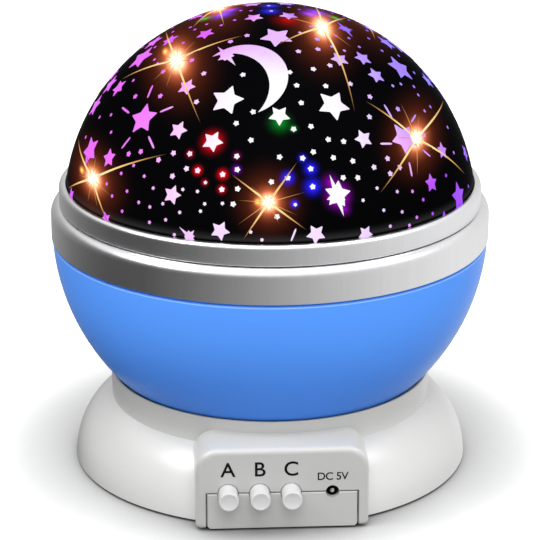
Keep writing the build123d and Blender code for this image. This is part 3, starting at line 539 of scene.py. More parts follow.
@dataclass(frozen=True)
class Moulding:
    """A moulded plastic.

    Attributes:
        name: The material's name.
        colour: Its colour, linear.
        roughness: How dull it is.
        coat: Share of clear gloss over it.
        coat_roughness: How dull that gloss is.
        grain: Fineness of its texture, per metre.
        depth: Depth of its texture, in metres.
        mottling: How much its colour wanders.
        shine: How strongly it mirrors.
        panel: Share of its colour that the control panel's face and rounded top edge keep, a painted shade.
        seam: Half width and height of the parting line on that face, if it has one; a piece with it also gets painted
            shade along that line and on the collar under the bowl.
    """

    name: str
    colour: Colour
    roughness: float = 0.32
    coat: float = 0.0
    coat_roughness: float = 0.08
    grain: float = 1500.0
    depth: float = 4e-6
    mottling: float = 0.05
    shine: float = 0.5
    panel: float = 1.0
    seam: Point | None = None

    def build(self) -> Material:
        """Make the material.

        Returns:
            The material.
        """
        material, sheet, shader = new_material(self.name)
        own = {"Colour": self.colour, "Mottling": self.mottling, "Roughness": self.roughness, "Grain": self.grain}
        mould = use_effect(sheet, moulded, Gloss_spread=0.08, **own)
        colour = mould["Colour"]
        if self.panel < 1:
            # Painted shade: the panel's front face and its rounded top edge are darkened, as if they got less light.
            face = sheet.remap(sheet.axes()["Y"], -59.9 * MM, -58.4 * MM, (1, 0))
            colour = sheet.blend(face, colour, (self.panel, self.panel, self.panel), "MULTIPLY")
        if self.seam:
            # Painted shade: a dark line along the parting seam, for the shadow in its groove.
            colour = sheet.blend(self.seam_shade(sheet), colour, (0.05, 0.05, 0.05))
            # Painted shade: the collar close under the bowl is darkened, for the bowl's shadow.
            colour = sheet.blend(self.collar_painted_shade(sheet), colour, (0.66, 0.66, 0.66), "MULTIPLY")
        sheet.wire(
            shader,
            Base_Color=colour,
            Roughness=mould["Roughness"],
            Specular_IOR_Level=self.shine,
            Coat_Weight=self.coat,
            Coat_Roughness=self.coat_roughness,
        )
        sheet.relief(shader, mould["Height"], self.depth)
        return material

    def collar_painted_shade(self, sheet: Sheet) -> Socket:
        """Painted shade on the collar, close under the bowl, where the bowl's shadow falls.

        Args:
            sheet: The material's tree.

        Returns:
            The mask, from 0 to 1.
        """
        place = sheet.object_place()
        reach = sheet.vector("LENGTH", sheet.vector("MULTIPLY", place, (1.0, 1.0, 0.0)))
        near = sheet.remap(reach, 45 * MM, 52 * MM, (1, 0))
        high = sheet.remap(sheet.axes(place)["Z"], 17 * MM, 25.5 * MM)
        return sheet.times(near, high, sheet.remap(sheet.noise(place, 60.0), 0.2, 0.6, (0.85, 1.0)))

    def seam_shade(self, sheet: Sheet) -> Socket:
        """Painted shade along the panel's parting line, where the shadow of its groove falls.

        Args:
            sheet: The material's tree.

        Returns:
            The mask, from 0 to 1.
        """
        half, height = self.seam
        axes = sheet.axes()
        across = sheet.sums("SUBTRACT", sheet.sums("ABSOLUTE", axes["X"]), half)
        outside = sheet.sums("MAXIMUM", across, sheet.sums("SUBTRACT", axes["Z"], height))
        near = sheet.remap(outside, 0.34 * MM, 0.62 * MM, (1, 0))
        return sheet.times(near, sheet.remap(axes["Y"], -58.6 * MM, -58.2 * MM, (1, 0)), 0.85)


@dataclass(frozen=True)
class Metal:
    """A plated, brushed or turned metal.

    Attributes:
        name: The material's name.
        colour: Its colour, linear.
        roughness: How dull it is.
        stretch: Scale of the streaks along each axis; a small value makes them long that way, and None
            runs them away from the vertical axis, upright on a band and outwards on a ledge.
        scale: Fineness of the streaks, per metre.
        contrast: How strongly the streaks show.
        depth: Depth of the streaks, in metres.
    """

    name: str
    colour: Colour
    roughness: float = 0.3
    stretch: Colour | None = (1.0, 1.0, 0.04)
    scale: float = 1400.0
    contrast: float = 0.16
    depth: float = 2e-6

    def build(self) -> Material:
        """Make the material.

        Returns:
            The material.
        """
        material, sheet, shader = new_material(self.name)
        place = sheet.vector("MULTIPLY", sheet.object_place(), self.stretch or (1, 1, 0))
        if not self.stretch:
            place = sheet.vector("MULTIPLY", sheet.vector("NORMALIZE", place), (0.065, 0.065, 0))
        own = {"Colour": self.colour, "Scale": self.scale, "Contrast": self.contrast, "Roughness": self.roughness}
        streaks = use_effect(sheet, brushed, Place=place, **own)
        sheet.wire(shader, Base_Color=streaks["Colour"], Roughness=streaks["Roughness"], Metallic=1.0)
        sheet.relief(shader, streaks["Height"], self.depth)
        return material


@cache
def silver() -> Material:
    """The vacuum-plated silver of both bands, brushed upright, made once."""
    return Metal("silver_plating", (0.80, 0.80, 0.81), 0.30, None, 2200.0, 0.10, 1e-6).build()


@dataclass(frozen=True)
class Lens:
    """The clear resin of a lamp, lit from inside at its tip.

    Attributes:
        name: The material's name.
        colour: Its tint, linear.
        lit: How strongly it shines.
    """

    name: str
    colour: Colour
    lit: float = 0.8

    def build(self) -> Material:
        """Make the material.

        Returns:
            The material.
        """
        material, sheet, shader = new_material(self.name)
        hot = sheet.remap(sheet.axes()["Z"], 73.5 * MM, 79.5 * MM)
        swirl = sheet.noise(sheet.object_place(), 900.0, 2.0)
        tint = sheet.blend(sheet.times(swirl, 0.25), self.colour, WHITE)
        sheet.wire(
            shader,
            Base_Color=tint,
            Emission_Color=sheet.blend(hot, tint, WHITE),
            Roughness=sheet.remap(swirl, 0.3, 0.7, (0.08, 0.2)),
            Emission_Strength=self.lit,
            Coat_Weight=0.6,
        )
        return material


@dataclass(frozen=True)
class Laminate:
    """A circuit board: solder mask over faint copper tracks.

    Attributes:
        name: The material's name.
        mask: Colour of the solder mask, linear.
        track: Colour where copper lies under it.
    """

    name: str
    mask: Colour
    track: Colour

    def build(self) -> Material:
        """Make the material.

        Returns:
            The material.
        """
        material, sheet, shader = new_material(self.name)
        place = sheet.object_place()
        cells = sheet.add("TexVoronoi", feature="F1", distance="MANHATTAN")
        cells = sheet.wire(cells, Vector=place, Scale=320.0)
        copper = sheet.remap(sheet.sums("FRACT", sheet.times(cells["Distance"], 3.0)), 0.44, 0.5)
        weave = sheet.noise(place, 2600.0, 2.0)
        sheet.wire(
            shader,
            Base_Color=sheet.blend(copper, self.mask, self.track),
            Roughness=sheet.remap(weave, 0.3, 0.7, (0.28, 0.42)),
        )
        sheet.relief(shader, copper, 2e-5)
        return material


# The window pattern's colours by bearing, from -90 degrees at the left to 90 at the right
WINDOW_HUES = (
    (-90, (0.74, 0.10, 0.92)), (-62, (0.90, 0.15, 0.98)), (-46, (0.90, 0.22, 0.98)), (-38, (0.95, 0.46, 0.98)),
    (-30, (0.97, 0.70, 0.98)), (-20, (1.00, 0.92, 1.00)), (-8, (1.00, 1.00, 1.00)), (20, (1.00, 1.00, 1.00)),
    (28, (0.88, 0.74, 0.98)), (36, (0.72, 0.54, 1.00)), (46, (0.52, 0.35, 1.00)), (66, (0.33, 0.18, 0.98)),
    (90, (0.18, 0.12, 0.95)),
)  # fmt: skip


@dataclass(frozen=True)
class LitWindow:
    """A clear window lit from inside, whose tint follows its place on the dome.

    Attributes:
        name: The material's name.
        radius: The dome's radius.
        centre: Height of the dome's centre.
        strength: How strongly it shines.
    """

    name: str
    radius: float
    centre: float
    strength: float = 1.0

    def build(self) -> Material:
        """Make the material.

        Returns:
            The material.
        """
        material, sheet, shader = new_material(self.name)
        place = sheet.object_place()
        axes = sheet.axes(place)
        bearing = sheet.sums("ARCTAN2", axes["X"], sheet.sums("ABSOLUTE", axes["Y"]))

        def lifted(low: float, high: float) -> Socket:
            """Share by height, in radii over the dome's centre."""
            return sheet.remap(axes["Z"], self.centre + low * self.radius, self.centre + high * self.radius)

        tinted = sheet.ramp(
            sheet.sums("MULTIPLY_ADD", bearing, 1 / pi, 0.5), [(turn / 180 + 0.5, hue) for turn, hue in WINDOW_HUES]
        )
        foot = sheet.times(sheet.remap(bearing, radians(34), radians(46)), lifted(0.41, 0.31))
        waist = sheet.times(sheet.remap(bearing, radians(30), radians(42)), lifted(0.62, 0.50))
        cloud = sheet.noise(place, 420.0, 3.0)
        for share, tint in (
            (lifted(0.79, 0.95), (0.80, 0.46, 0.98)),
            (lifted(0.34, 0.17), (0.92, 0.72, 1.0)),
            (waist, (1.45, 0.95, 0.94)),
            (foot, (0.64, 0.17, 0.98)),
            (sheet.remap(cloud, 0.45, 0.75, (0, 0.2)), (0.84, 0.62, 0.96)),
        ):
            tinted = sheet.blend(share, tinted, tint, "MULTIPLY")
        sheet.wire(
            shader,
            Emission_Color=tinted,
            Roughness=sheet.remap(cloud, 0.3, 0.7, (0.25, 0.4)),
            Base_Color=(0.02, 0.02, 0.02),
            Specular_IOR_Level=0.1,
            Emission_Strength=self.strength,
        )
        return material


# The colours along a streak of light, from its heart to its tip
STREAK_HUES = (
    (0.0, (1.0, 1.0, 0.92)),
    (0.12, (1.0, 0.92, 0.52)),
    (0.36, (1.0, 0.74, 0.27)),
    (0.66, (0.74, 0.36, 0.10)),
    (1.0, (0.02, 0.008, 0.005)),
)


@dataclass(frozen=True)
class FlareLight:
    """A streak of light that fades from white heat through gold to dark along its length.

    Attributes:
        name: The material's name.
    """

    name: str

    def build(self) -> Material:
        """Make the material.

        Returns:
            The material.
        """
        material, sheet, shader = new_material(self.name)
        along = sheet.add("Attribute", attribute_name="along").outputs["Fac"]
        shimmer = sheet.noise(sheet.object_place(), 700.0, 2.0)
        dimmed = sheet.remap(shimmer, 0.4, 0.8, (0, 0.3))
        sheet.wire(
            shader,
            Emission_Color=sheet.blend(dimmed, sheet.ramp(along, STREAK_HUES), (1.0, 0.8, 0.5), "MULTIPLY"),
            Roughness=sheet.remap(shimmer, 0.3, 0.7, (0.3, 0.5)),
            Base_Color=(0.01, 0.01, 0.01),
            Specular_IOR_Level=0.05,
            Emission_Strength=1.0,
        )
        return material


# The dome's window pattern
# ----------------------------------------


class Shape(Enum):
    """The shapes that the windows are cut in."""

    STAR = "star"
    DOT = "dot"
    BURST = "burst"
    DASH = "dash"
    MOON = "moon"

    @property
    def first(self) -> float:
        """Direction of the unit shape's first point in degrees, counted from the right."""
        return 0.0 if self in (Shape.DASH, Shape.MOON) else 90.0


BIG_STAR = 4.65
SMALL_STAR = 2.7

# Each window's bearing round the dome, 0 over the control panel, its height above the equator, its outer
# radius or half length, and the direction of its first point, counted from the right; all in degrees
STARS = (
    (-20.1, 47.1, BIG_STAR, 11.2), (-50.9, 37.6, BIG_STAR, -35.4), (-83.2, 51.8, BIG_STAR, -28.0),
    (-58.2, 68.3, SMALL_STAR, 30.3), (-32.7, 81.1, SMALL_STAR, 9.6), (1.9, 70.8, BIG_STAR, -27.9),
    (35.7, 82.0, SMALL_STAR, 15.4), (-39.4, 49.4, SMALL_STAR, 13.4), (-34.8, 36.8, SMALL_STAR, 7.3),
    (-21.9, 35.0, 3.0, -1.8), (-31.5, 19.7, SMALL_STAR, 5.9), (-16.7, 11.9, SMALL_STAR, -6.1),
    (35.2, 59.0, SMALL_STAR, 19.8), (49.5, 57.3, SMALL_STAR, 10.9), (47.9, 51.0, SMALL_STAR, 11.3),
    (67.5, 49.7, BIG_STAR, -7.9), (20.7, 45.0, BIG_STAR, -21.7), (-0.1, 43.0, 3.0, -19.6),
    (27.6, 34.4, SMALL_STAR, 29.6), (43.3, 32.0, BIG_STAR, 33.9), (8.8, 11.1, SMALL_STAR, -25.0),
    (-79.7, 60.9, SMALL_STAR, 4.0), (22.7, 9.8, 2.2, -16.0), (15.7, 20.9, 3.7, 80.0), (59.1, 24.9, 2.5, 71.8),
    (77.3, 19.2, 2.5, 27.5), (48.4, 18.4, 2.6, 83.4), (61.3, 11.3, 4.2, 86.3), (85.8, 56.3, 3.2, 70.7),
    (82.7, 41.2, SMALL_STAR, 55.7), (51.4, 7.8, 2.2, 79.7), (-76.9, 41.9, 2.9, -0.2), (-88.0, 40.1, 3.4, -21.5),
    (-87.0, 33.1, 3.6, -35.4), (-70.7, 23.7, 4.3, -13.3), (-58.5, 24.6, SMALL_STAR, -33.9),
    (-76.3, 9.1, 2.4, -24.0), (-53.7, 8.9, 2.1, -27.4),
)  # fmt: skip

BURSTS = ((-28.5, 61.8, 5.1, 142.0), (68.4, 68.2, 4.4, 50.0), (15.5, 20.5, 5.8, 103.0), (-25.2, 9.6, 3.7, 144.0))

DASHES = (
    (-55.5, 45.3, 2.0, 109.1), (-42.9, 41.8, 2.0, 35.1), (-61.8, 38.0, 2.2, -6.7), (-53.5, 30.0, 1.9, -113.5),
    (-43.3, 32.1, 2.1, -41.1), (35.3, 31.9, 1.9, -10.9), (41.4, 23.7, 1.9, -96.6), (42.0, 40.2, 2.1, -87.3),
    (52.0, 36.1, 1.8, 21.8), (2.8, 11.2, 1.7, -112.3), (50.4, 26.3, 1.7, -47.3),
)  # fmt: skip

# Small round windows as (bearing, height)
DOTS = (
    (-61.5, 42.5), (-57, 52), (-50.5, 27.5), (-49, 45), (-46.5, 58), (-46, 29), (-38.5, 28), (-35, 54.5),
    (-34, 30.5), (-32.5, 24.5), (-32, 45.5), (-32, 67.5), (-28.5, 27), (-28.5, 31), (-22.5, 71), (-16, 55.5),
    (-15, 40.5), (-13.5, 19), (-13.5, 31.5), (-13, 28), (-12.5, 23), (-9.5, 36), (-9.5, 44), (-3, 25),
    (-1.5, 16), (-0.5, 31.5), (4.5, 39), (6, 56.5), (8, 52), (8.5, 46.5), (10, 32.5), (10.5, 39.5), (14, 64),
    (15.5, 35.5), (16, 30.5), (18, 25), (18, 57), (20.5, 34.5), (20.5, 51), (22, 29), (22.5, 24.5), (27, 64),
    (27.5, 57.5), (28.5, 26.5), (32, 50.5), (32.5, 68), (33, 40), (33.5, 24), (34, 28), (37.5, 25),
    (37.5, 45.5), (47, 40), (53, 31), (-24.9, 26.9), (-17.2, 26.5), (-17, 22.6), (1.7, 26), (6.5, 31),
    (8.6, 28.1), (8.7, 23.4),
)  # fmt: skip

# The smallest ones
PINPOINTS = (
    (-176.5, 87), (-95, 71), (-92, 62.5), (-89.5, 76), (-89, 82), (-83.5, 56.5), (-83, 67.5), (-78.5, 25.5),
    (-75.5, 32.5), (-74, 68), (-73.5, 71.5), (-70.5, 46), (-70.5, 54), (-68.5, 35), (-65.5, 53.5), (-65, 62.5),
    (-63, 31), (-57, 73.5), (-56, 18), (-53.5, 77.5), (-52.5, 15.5), (-51, 22), (-47.5, 12.5), (-47, 18),
    (-47, 25), (-42, 16), (-42, 23), (-38, 15.5), (-38, 20.5), (-37.5, 11.5), (-34, 17), (-32.5, 13),
    (-29.5, 9.5), (-28.5, 15.5), (-28.5, 21.5), (-24, 21.5), (-22.5, 16.5), (-22, 24), (-21.5, 18.5),
    (-16.5, 19), (-8.5, 12), (-5.5, 10), (3.5, 19), (23, 18.5), (23.5, 72), (28, 21), (29, 15), (30.5, 10.5),
    (34.5, 19), (35, 13.5), (37, 9.5), (37.5, 64), (40, 11), (40, 18), (40.5, 74), (43, 61.5), (43.5, 15),
    (46.5, 10.5), (50, 67.5), (52.5, 46.5), (56, 61), (56.5, 18.5), (57.5, 65), (58, 46), (60.5, 36.5),
    (63.5, 41), (65, 43.5), (66, 22.5), (66, 36.5), (69.5, 56.5), (70, 29), (70.5, 11.5), (72.5, 73.5),
    (74, 61.5), (75.5, 46), (79, 52), (107, 84.5),
)  # fmt: skip


@dataclass(frozen=True)
class Glow:
    """A tinted spread of light in the dome round a window.

    Attributes:
        turn: Its bearing in degrees.
        lift: Its height in degrees.
        reach: How far it spreads, in metres.
        colour: Its colour at the middle, linear.
        pressed: Whether its shape is measured from the front.
    """

    turn: float
    lift: float
    reach: float
    colour: Colour
    pressed: bool = False


@dataclass(frozen=True)
class Flare:
    """A lamp that shines straight through the dome: a hot core with four tapering rays.

    Attributes:
        turn: Its bearing in degrees.
        lift: Its height in degrees.
        core: Radius of its core, in degrees of the dome.
        rays: (length, direction) of each ray in degrees.
    """

    turn: float
    lift: float
    core: float
    rays: tuple[Point, ...]


RED = (2.3, 0.0, 0.03)
BLUE = (0.04, 0.03, 2.2)
VIOLET = (1.1, 0.0, 1.7)
GREEN = (0.0, 0.38, 0.03)

# Bearing, height, reach and colour of each
GLOWS = (
    (-21.9, 34.9, 0.0056, RED), (-24.9, 26.9, 0.0026, RED), (-17.2, 26.5, 0.0029, RED),
    (-17.0, 22.6, 0.0024, (1.4, 0.0, 0.03)), (-22.2, 24.0, 0.0019, (1.0, 0.0, 0.03)),
    (-28.4, 31.0, 0.0024, (0.8, 0.0, 0.04)), (-13.5, 31.6, 0.0024, (0.4, 0.0, 0.2)),
    (-13.2, 28.0, 0.0026, (0.35, 0.0, 0.8)), (6.5, 31.0, 0.0024, BLUE), (8.6, 28.1, 0.0037, BLUE),
    (1.7, 26.0, 0.0036, BLUE), (8.7, 23.4, 0.0046, BLUE), (3.3, 19.2, 0.0022, BLUE),
    (15.8, 20.6, 0.0062, VIOLET), (13.9, 24.2, 0.0044, (0.32, 0.0, 0.5)),
    (17.4, 16.8, 0.0032, (0.28, 0.0, 0.45)), (0.0, 41.0, 0.0056, GREEN), (4.5, 39.2, 0.0022, (0.0, 0.4, 0.04)),
    (-87.0, 77.0, 0.0062, (0.05, 0.05, 2.0)), (-3.0, 87.0, 0.0054, (0.05, 0.05, 1.5)),
    (24.0, 79.5, 0.0080, (0.55, 0.0, 0.0)), (74.0, 79.0, 0.0050, (0.4, 0.05, 1.6)),
    (-92.0, 72.0, 0.0040, (0.0, 0.7, 0.05)),
)  # fmt: skip

FLARES = (
    Flare(-55.3, 56.6, 2.1, ((20.7, -151.7), (19.4, 59.6), (25.9, 152.7), (26.5, -31.4))),
    Flare(50.0, 72.2, 2.0, ((22.7, 40.4), (18.0, 10.7), (17.2, 173.3), (35.4, -121.8))),
    Flare(48.3, 30.9, 1.9, ((17.8, 124.5), (22.0, -152.1), (31.7, 15.4), (25.9, -34.4))),
    Flare(-3.8, 19.7, 1.7, ((12.4, 142.8), (12.1, -124.2), (13.2, 54.9), (12.4, -35.8))),
    Flare(-63.4, 17.6, 1.8, ((30.0, 31.5), (22.6, 162.2), (13.9, -40.1), (19.2, -157.7))),
)

# A flare's white heart, hot orange spread and wide brown one, as (reach, colour)
HEARTS = ((4.4 * MM, (6.0, 5.0, 3.4)), (8.0 * MM, (2.7, 0.62, 0.24)), (17.0 * MM, (0.36, 0.06, 0.02)))

# Small sparks beside the flares as (bearing, height)
SPARKS = ((-69.7, 57.6), (-71.8, 17.7), (-6.8, 19.8))


def sky_vector(turn: float, lift: float) -> Vector:
    """Direction of a place on the dome from its bearing and height in degrees."""
    across = cos(radians(lift))
    return Vector((across * sin(radians(turn)), -across * cos(radians(turn)), sin(radians(lift))))


def sky_axes(turn: float, lift: float) -> tuple[Vector, Vector, Vector]:
    """The ways to the right, up and out at a place on the dome.

    Args:
        turn: Its bearing in degrees.
        lift: Its height in degrees.

    Returns:
        The three directions.
    """
    out = sky_vector(turn, lift)
    east = Vector((cos(radians(turn)), sin(radians(turn)), 0))
    return east, out.cross(east), out


def sky_place(turn: float, lift: float, spin: float, size: float, radius: float) -> Matrix:
    """Where a flat unit shape goes to lie on the dome.

    Args:
        turn: Bearing in degrees.
        lift: Height in degrees.
        spin: Turn in its own plane in degrees.
        size: Scale, in degrees of the dome.
        radius: The dome's radius.

    Returns:
        The matrix, counted from the dome's centre.
    """
    axes = sky_axes(turn, lift)
    scale = radius * radians(size)
    place = Matrix.Translation(axes[2] * radius) @ Matrix(axes).transposed().to_4x4()
    return place @ Matrix.Rotation(radians(spin), 4, "Z") @ Matrix.Diagonal((scale, scale, scale, 1))


def seen_round(turn: float, lift: float) -> Matrix:
    """Stretch that makes a flat disc on the dome look round from the front.

    Args:
        turn: Bearing in degrees.
        lift: Height in degrees.

    Returns:
        The matrix, in the disc's own plane.
    """
    east, north, out = sky_axes(turn, lift)
    front = sky_vector(0, 19.5)
    tilt = Matrix.Rotation(atan2(front.dot(north), front.dot(east)), 4, "Z")
    return tilt @ Matrix.Diagonal((1 / max(out.dot(front), 0.4), 1, 1, 1)) @ tilt.inverted()


@dataclass
class StarDome:
    """The dark dome, its silver band, its windows and the light that comes through them.

    Attributes:
        radius: The dome's outer radius.
        centre: Height of the centre of its curve.
        foot: Height of its lower edge.
        band_radius: Outer radius of the silver band.
        band_height: Height of the band.
        band_round: Radius of the band's upper edge.
        stand: How far the windows stand off the dome's surface.
    """

    radius: float = 61.1 * MM
    centre: float = 76.97 * MM
    foot: float = 80.47 * MM
    band_radius: float = 62.5 * MM
    band_height: float = 6.0 * MM
    band_round: float = 1.5 * MM
    stand: float = 0.06 * MM

    def build(self) -> None:
        """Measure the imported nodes, so that the pieces sit on them, then model the pieces and dress them."""
        self.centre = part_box("star_dome")[1].z - self.radius
        self.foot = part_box("dome_collar")[0].z
        self.dress_shell()
        window = LitWindow("lit_star_window", self.radius, self.centre).build()
        self.lay_on(self.star_group(), "star_windows", self.stand, window)
        self.lay_on(self.dot_group(), "dot_windows", self.stand, window)
        self.lay_on(self.crescent_group(), "crescent_window", self.stand, window)
        gold = FlareLight("flare_gold").build()
        self.lay_on(self.ray_group(), "lamp_flares", 2 * self.stand, gold)
        self.lay_on(self.core_group(), "lamp_cores", 3 * self.stand, gold)
        self.add_band()

    def dress_shell(self) -> None:
        """Black gloss with the lamps' tinted glow in it and a paler foot over the band, a painted reflection."""
        material, sheet, shader = new_material("dome_black_gloss")
        place = sheet.object_place()
        x, y, z = sheet.axes(place)
        black = (0.0016, 0.0016, 0.0020)
        mould = use_effect(sheet, moulded, Colour=black, Mottling=0.6, Roughness=0.34, Gloss_spread=0.05)
        lip = self.foot + self.band_height
        # Painted reflection: the black turns grey just above the band's lip.
        painted_foot_reflection = sheet.sums("POWER", sheet.remap(z, lip, lip + 3.6 * MM, (1, 0)), 1.5)
        painted_foot_reflection = sheet.times(painted_foot_reflection, sheet.remap(z, lip + 0.3 * MM, lip + 0.9 * MM))
        side = sheet.sums("SIGN", sheet.times(y, -1.0))
        folded = sheet.add("CombineXYZ", sheet.times(x, side), sheet.times(y, side), z).outputs[0]
        sheet.wire(
            shader,
            Base_Color=sheet.blend(painted_foot_reflection, mould["Colour"], (0.026, 0.026, 0.027)),
            Roughness=mould["Roughness"],
            Specular_IOR_Level=0.0004,
            Emission_Color=self.add_glows(sheet, place, folded),
            Emission_Strength=1.0,
        )
        sheet.relief(shader, mould["Height"], 2e-6)
        dress(material, "star_dome")

    def front_plane(self, spot: Sequence[float]) -> Colour:
        """A place pressed flat towards the front, so that a glow round it looks round from there."""
        return (spot[0], 0.35 * spot[1], spot[2])

    def add_glows(self, sheet: Sheet, place: Socket, folded: Socket) -> Socket:
        """All the light in the dome's shell, the same on both halves and unbroken across the middle plane.

        Args:
            sheet: The shell's material.
            place: The place on the shell.
            folded: The same place, turned round to the front half.

        Returns:
            The light.
        """
        squash = self.front_plane(WHITE)
        ways = {False: (place, folded), True: tuple(sheet.vector("MULTIPLY", way, squash) for way in (place, folded))}
        total: object = BLACK
        for glow in (*(Glow(*row) for row in GLOWS), *self.flare_glows()):
            spot = sky_vector(glow.turn, glow.lift) * self.radius + Vector((0, 0, self.centre))
            x, y, z = self.front_plane(spot) if glow.pressed else spot
            whole = abs(y) > glow.reach
            for turn in (1,) if whole else (1, -1):
                where = {"Place": ways[glow.pressed][whole], "Centre": (turn * x, turn * y, z)}
                own = {"Reach": glow.reach, "Colour": glow.colour}
                total = use_effect(sheet, glowing, **where, **own, Others=total)["Colour"]
        return total

    def flare_glows(self) -> list[Glow]:
        """The flares' hearts and spreads, and the small sparks."""
        hearts = [
            Glow(flare.turn, flare.lift, reach * (flare.core / 2.0), colour, True)
            for flare in FLARES
            for reach, colour in HEARTS
        ]
        return hearts + [Glow(*spark, 1.7 * MM, (3.0, 1.3, 0.25), True) for spark in SPARKS]

    def star_master(self, points: int, waist: float, rounding: float) -> Piece:
        """A flat star of unit radius whose first point looks along +Y.

        Args:
            points: How many points it has.
            waist: Radius of its inner corners.
            rounding: How far its corners are rounded.

        Returns:
            The star.
        """
        clear_selection()
        bpy.ops.mesh.primitive_circle_add(vertices=2 * points, radius=1.0, fill_type="NGON")
        star = bpy.context.object
        step = pi / points
        pick(star, lambda co: round((atan2(co.y, co.x) - pi / 2) / step) % 2 == 1)
        widen(waist, waist)
        select_all()
        if rounding:
            bpy.ops.mesh.bevel(offset=rounding, segments=1, affect="VERTICES")
        bpy.ops.mesh.select_mode(type="FACE")
        select_all()
        bpy.ops.mesh.poke()
        use_mode("OBJECT")
        return star

    def burst_master(self) -> Piece:
        """A flat burst of eight points, two of them long.

        Returns:
            The burst.
        """
        burst = self.star_master(8, 0.31, 0.0)
        for number, reach in enumerate((1.0, 0.36, 0.52, 0.38, 0.96, 0.42, 0.60, 0.44)):
            angle = pi / 2 + number * pi / 4
            tip = Vector((cos(angle), sin(angle), 0))
            pick(burst, lambda co, tip=tip: (co - tip).length < 0.05)
            widen(reach, reach)
        use_mode("OBJECT")
        return burst

    def dash_master(self) -> Piece:
        """A flat bar of unit half length with rounded ends, split along its length.

        Returns:
            The bar.
        """
        clear_selection()
        bpy.ops.mesh.primitive_grid_add(x_subdivisions=6, y_subdivisions=1, size=2.0)
        dash = bpy.context.object
        edit(dash)
        widen(1, 0.14)
        pick(dash, lambda co: abs(co.x) > 0.99)
        widen(1, 0.45)
        use_mode("OBJECT")
        return dash

    def spread(self, master: Piece, shape: Shape, rows: Iterable[Sequence[float]]) -> list[Piece]:
        """Copy a shape to each of its windows, on the front half and again on the back.

        Args:
            master: The flat unit shape, which is removed afterwards.
            shape: What it is.
            rows: Bearing, height, size and direction of each window.

        Returns:
            The copies.
        """
        copies = [
            copied(master, sky_place(turn + half, lift, spin - shape.first, size, self.radius))
            for turn, lift, size, spin in rows
            for half in (0, 180)
        ]
        discard(master)
        return copies

    def star_group(self) -> Piece:
        """All the stars, bursts and dashes.

        Returns:
            The joined shapes.
        """
        star = self.star_master(5, 0.52, 0.05)
        edit(star)
        bpy.ops.mesh.subdivide(number_cuts=1)
        use_mode("OBJECT")
        parts = self.spread(star, Shape.STAR, STARS)
        parts += self.spread(self.burst_master(), Shape.BURST, BURSTS)
        return joined(parts + self.spread(self.dash_master(), Shape.DASH, DASHES))

    def dot_group(self) -> Piece:
        """All the small windows: plump five-pointed specks.

        Returns:
            The joined shapes.
        """
        rows = [(turn, lift, 0.86, 11.0 * turn) for turn, lift in DOTS]
        rows += [(turn, lift, 0.56, 7.0 * lift) for turn, lift in PINPOINTS]
        return joined(self.spread(self.star_master(5, 0.66, 0.1), Shape.DOT, rows))

    def crescent_group(self) -> Piece:
        """The crescent: two arcs bridged, once on each half of the dome.

        Returns:
            The joined shapes.
        """
        outer, outer_radius = Vector((-3.89, 1.69)), 12.37
        inner, inner_radius = Vector((-8.95, -2.07)), 12.80
        gap = inner - outer
        along = (outer_radius**2 - inner_radius**2 + gap.length**2) / (2 * gap.length)
        sides = []
        for centre, radius, offset in ((outer, outer_radius, along), (inner, inner_radius, along - gap.length)):
            half = pi - acos(offset / radius)
            start = atan2(gap.y, gap.x) + pi - half
            sides.append(lone_vertex())
            place = (centre.x + radius * cos(start), centre.y + radius * sin(start), 0)
            bpy.ops.transform.translate(value=place)
            bpy.ops.mesh.spin(steps=44, angle=2 * half, center=(*centre, 0), axis=(0, 0, -1))
            use_mode("OBJECT")
        moon = joined(sides)
        edit(moon)
        bpy.ops.mesh.select_mode(type="EDGE")
        select_all()
        bpy.ops.mesh.bridge_edge_loops(number_cuts=5, interpolation="LINEAR")
        select_all()
        bpy.ops.mesh.remove_doubles(threshold=0.01)
        use_mode("OBJECT")
        return joined(self.spread(moon, Shape.MOON, [(-9.8, 53.29, 1.0, 0.0)]))

    def ray_master(self) -> Piece:
        """A flat ray from the origin along +X, one long, tapering to a point.

        Returns:
            The ray.
        """
        clear_selection()
        columns = 16
        bpy.ops.mesh.primitive_grid_add(x_subdivisions=columns, y_subdivisions=2, size=1.0, location=(0.5, 0, 0))
        ray = bpy.context.object
        bpy.ops.object.transform_apply(location=True)
        for column in range(columns + 1):
            at = column / columns
            pick(ray, lambda co, at=at: abs(co.x - at) < 0.3 / columns)
            width = 0.044 * (1 - at) ** 0.7 + 0.06 * max(0.0, 1 - at / 0.14) ** 2
            widen(1, max(width, 0.002), at)
        use_mode("OBJECT")
        attribute = ray.data.attributes.new("along", "FLOAT", "POINT")
        for vertex in ray.data.vertices:
            attribute.data[vertex.index].value = vertex.co.x
        return ray

    def ray_group(self) -> Piece:
        """The golden rays where the lamps shine straight through, four long ones and nine faint ones each.

        Returns:
            The joined shapes.
        """
        parts: list[Piece] = []
        ray = self.ray_master()
        faint = copied(ray, NO_MOVE)
        for entry in faint.data.attributes["along"].data:
            entry.value = 0.42 + 0.58 * entry.value
        for number, flare in enumerate(FLARES):
            fine = [(4.6 + 1.9 * ((5 * step + number) % 4), 17.0 + 40.0 * step + 13.0 * number) for step in range(9)]
            for master, width, rays in ((ray, 15.0, flare.rays), (faint, 6.0, fine)):
                for length, direction in rays:
                    for half in (0, 180):
                        place = sky_place(flare.turn + half, flare.lift, direction, length, self.radius)
                        parts.append(copied(master, place @ Matrix.Diagonal((1, width / length, 1, 1))))
        discard(ray)
        discard(faint)
        return joined(parts)

    def core_group(self) -> Piece:
        """The flares' hot cores.

        Returns:
            The joined shapes.
        """
        core = self.star_master(14, 0.99, 0.0)
        cores = []
        for flare in FLARES:
            stretch = seen_round(flare.turn, flare.lift)
            for half in (0, 180):
                place = sky_place(flare.turn + half, flare.lift, 0, 0.72 * flare.core, self.radius)
                cores.append(copied(core, place @ stretch))
        discard(core)
        return joined(cores)

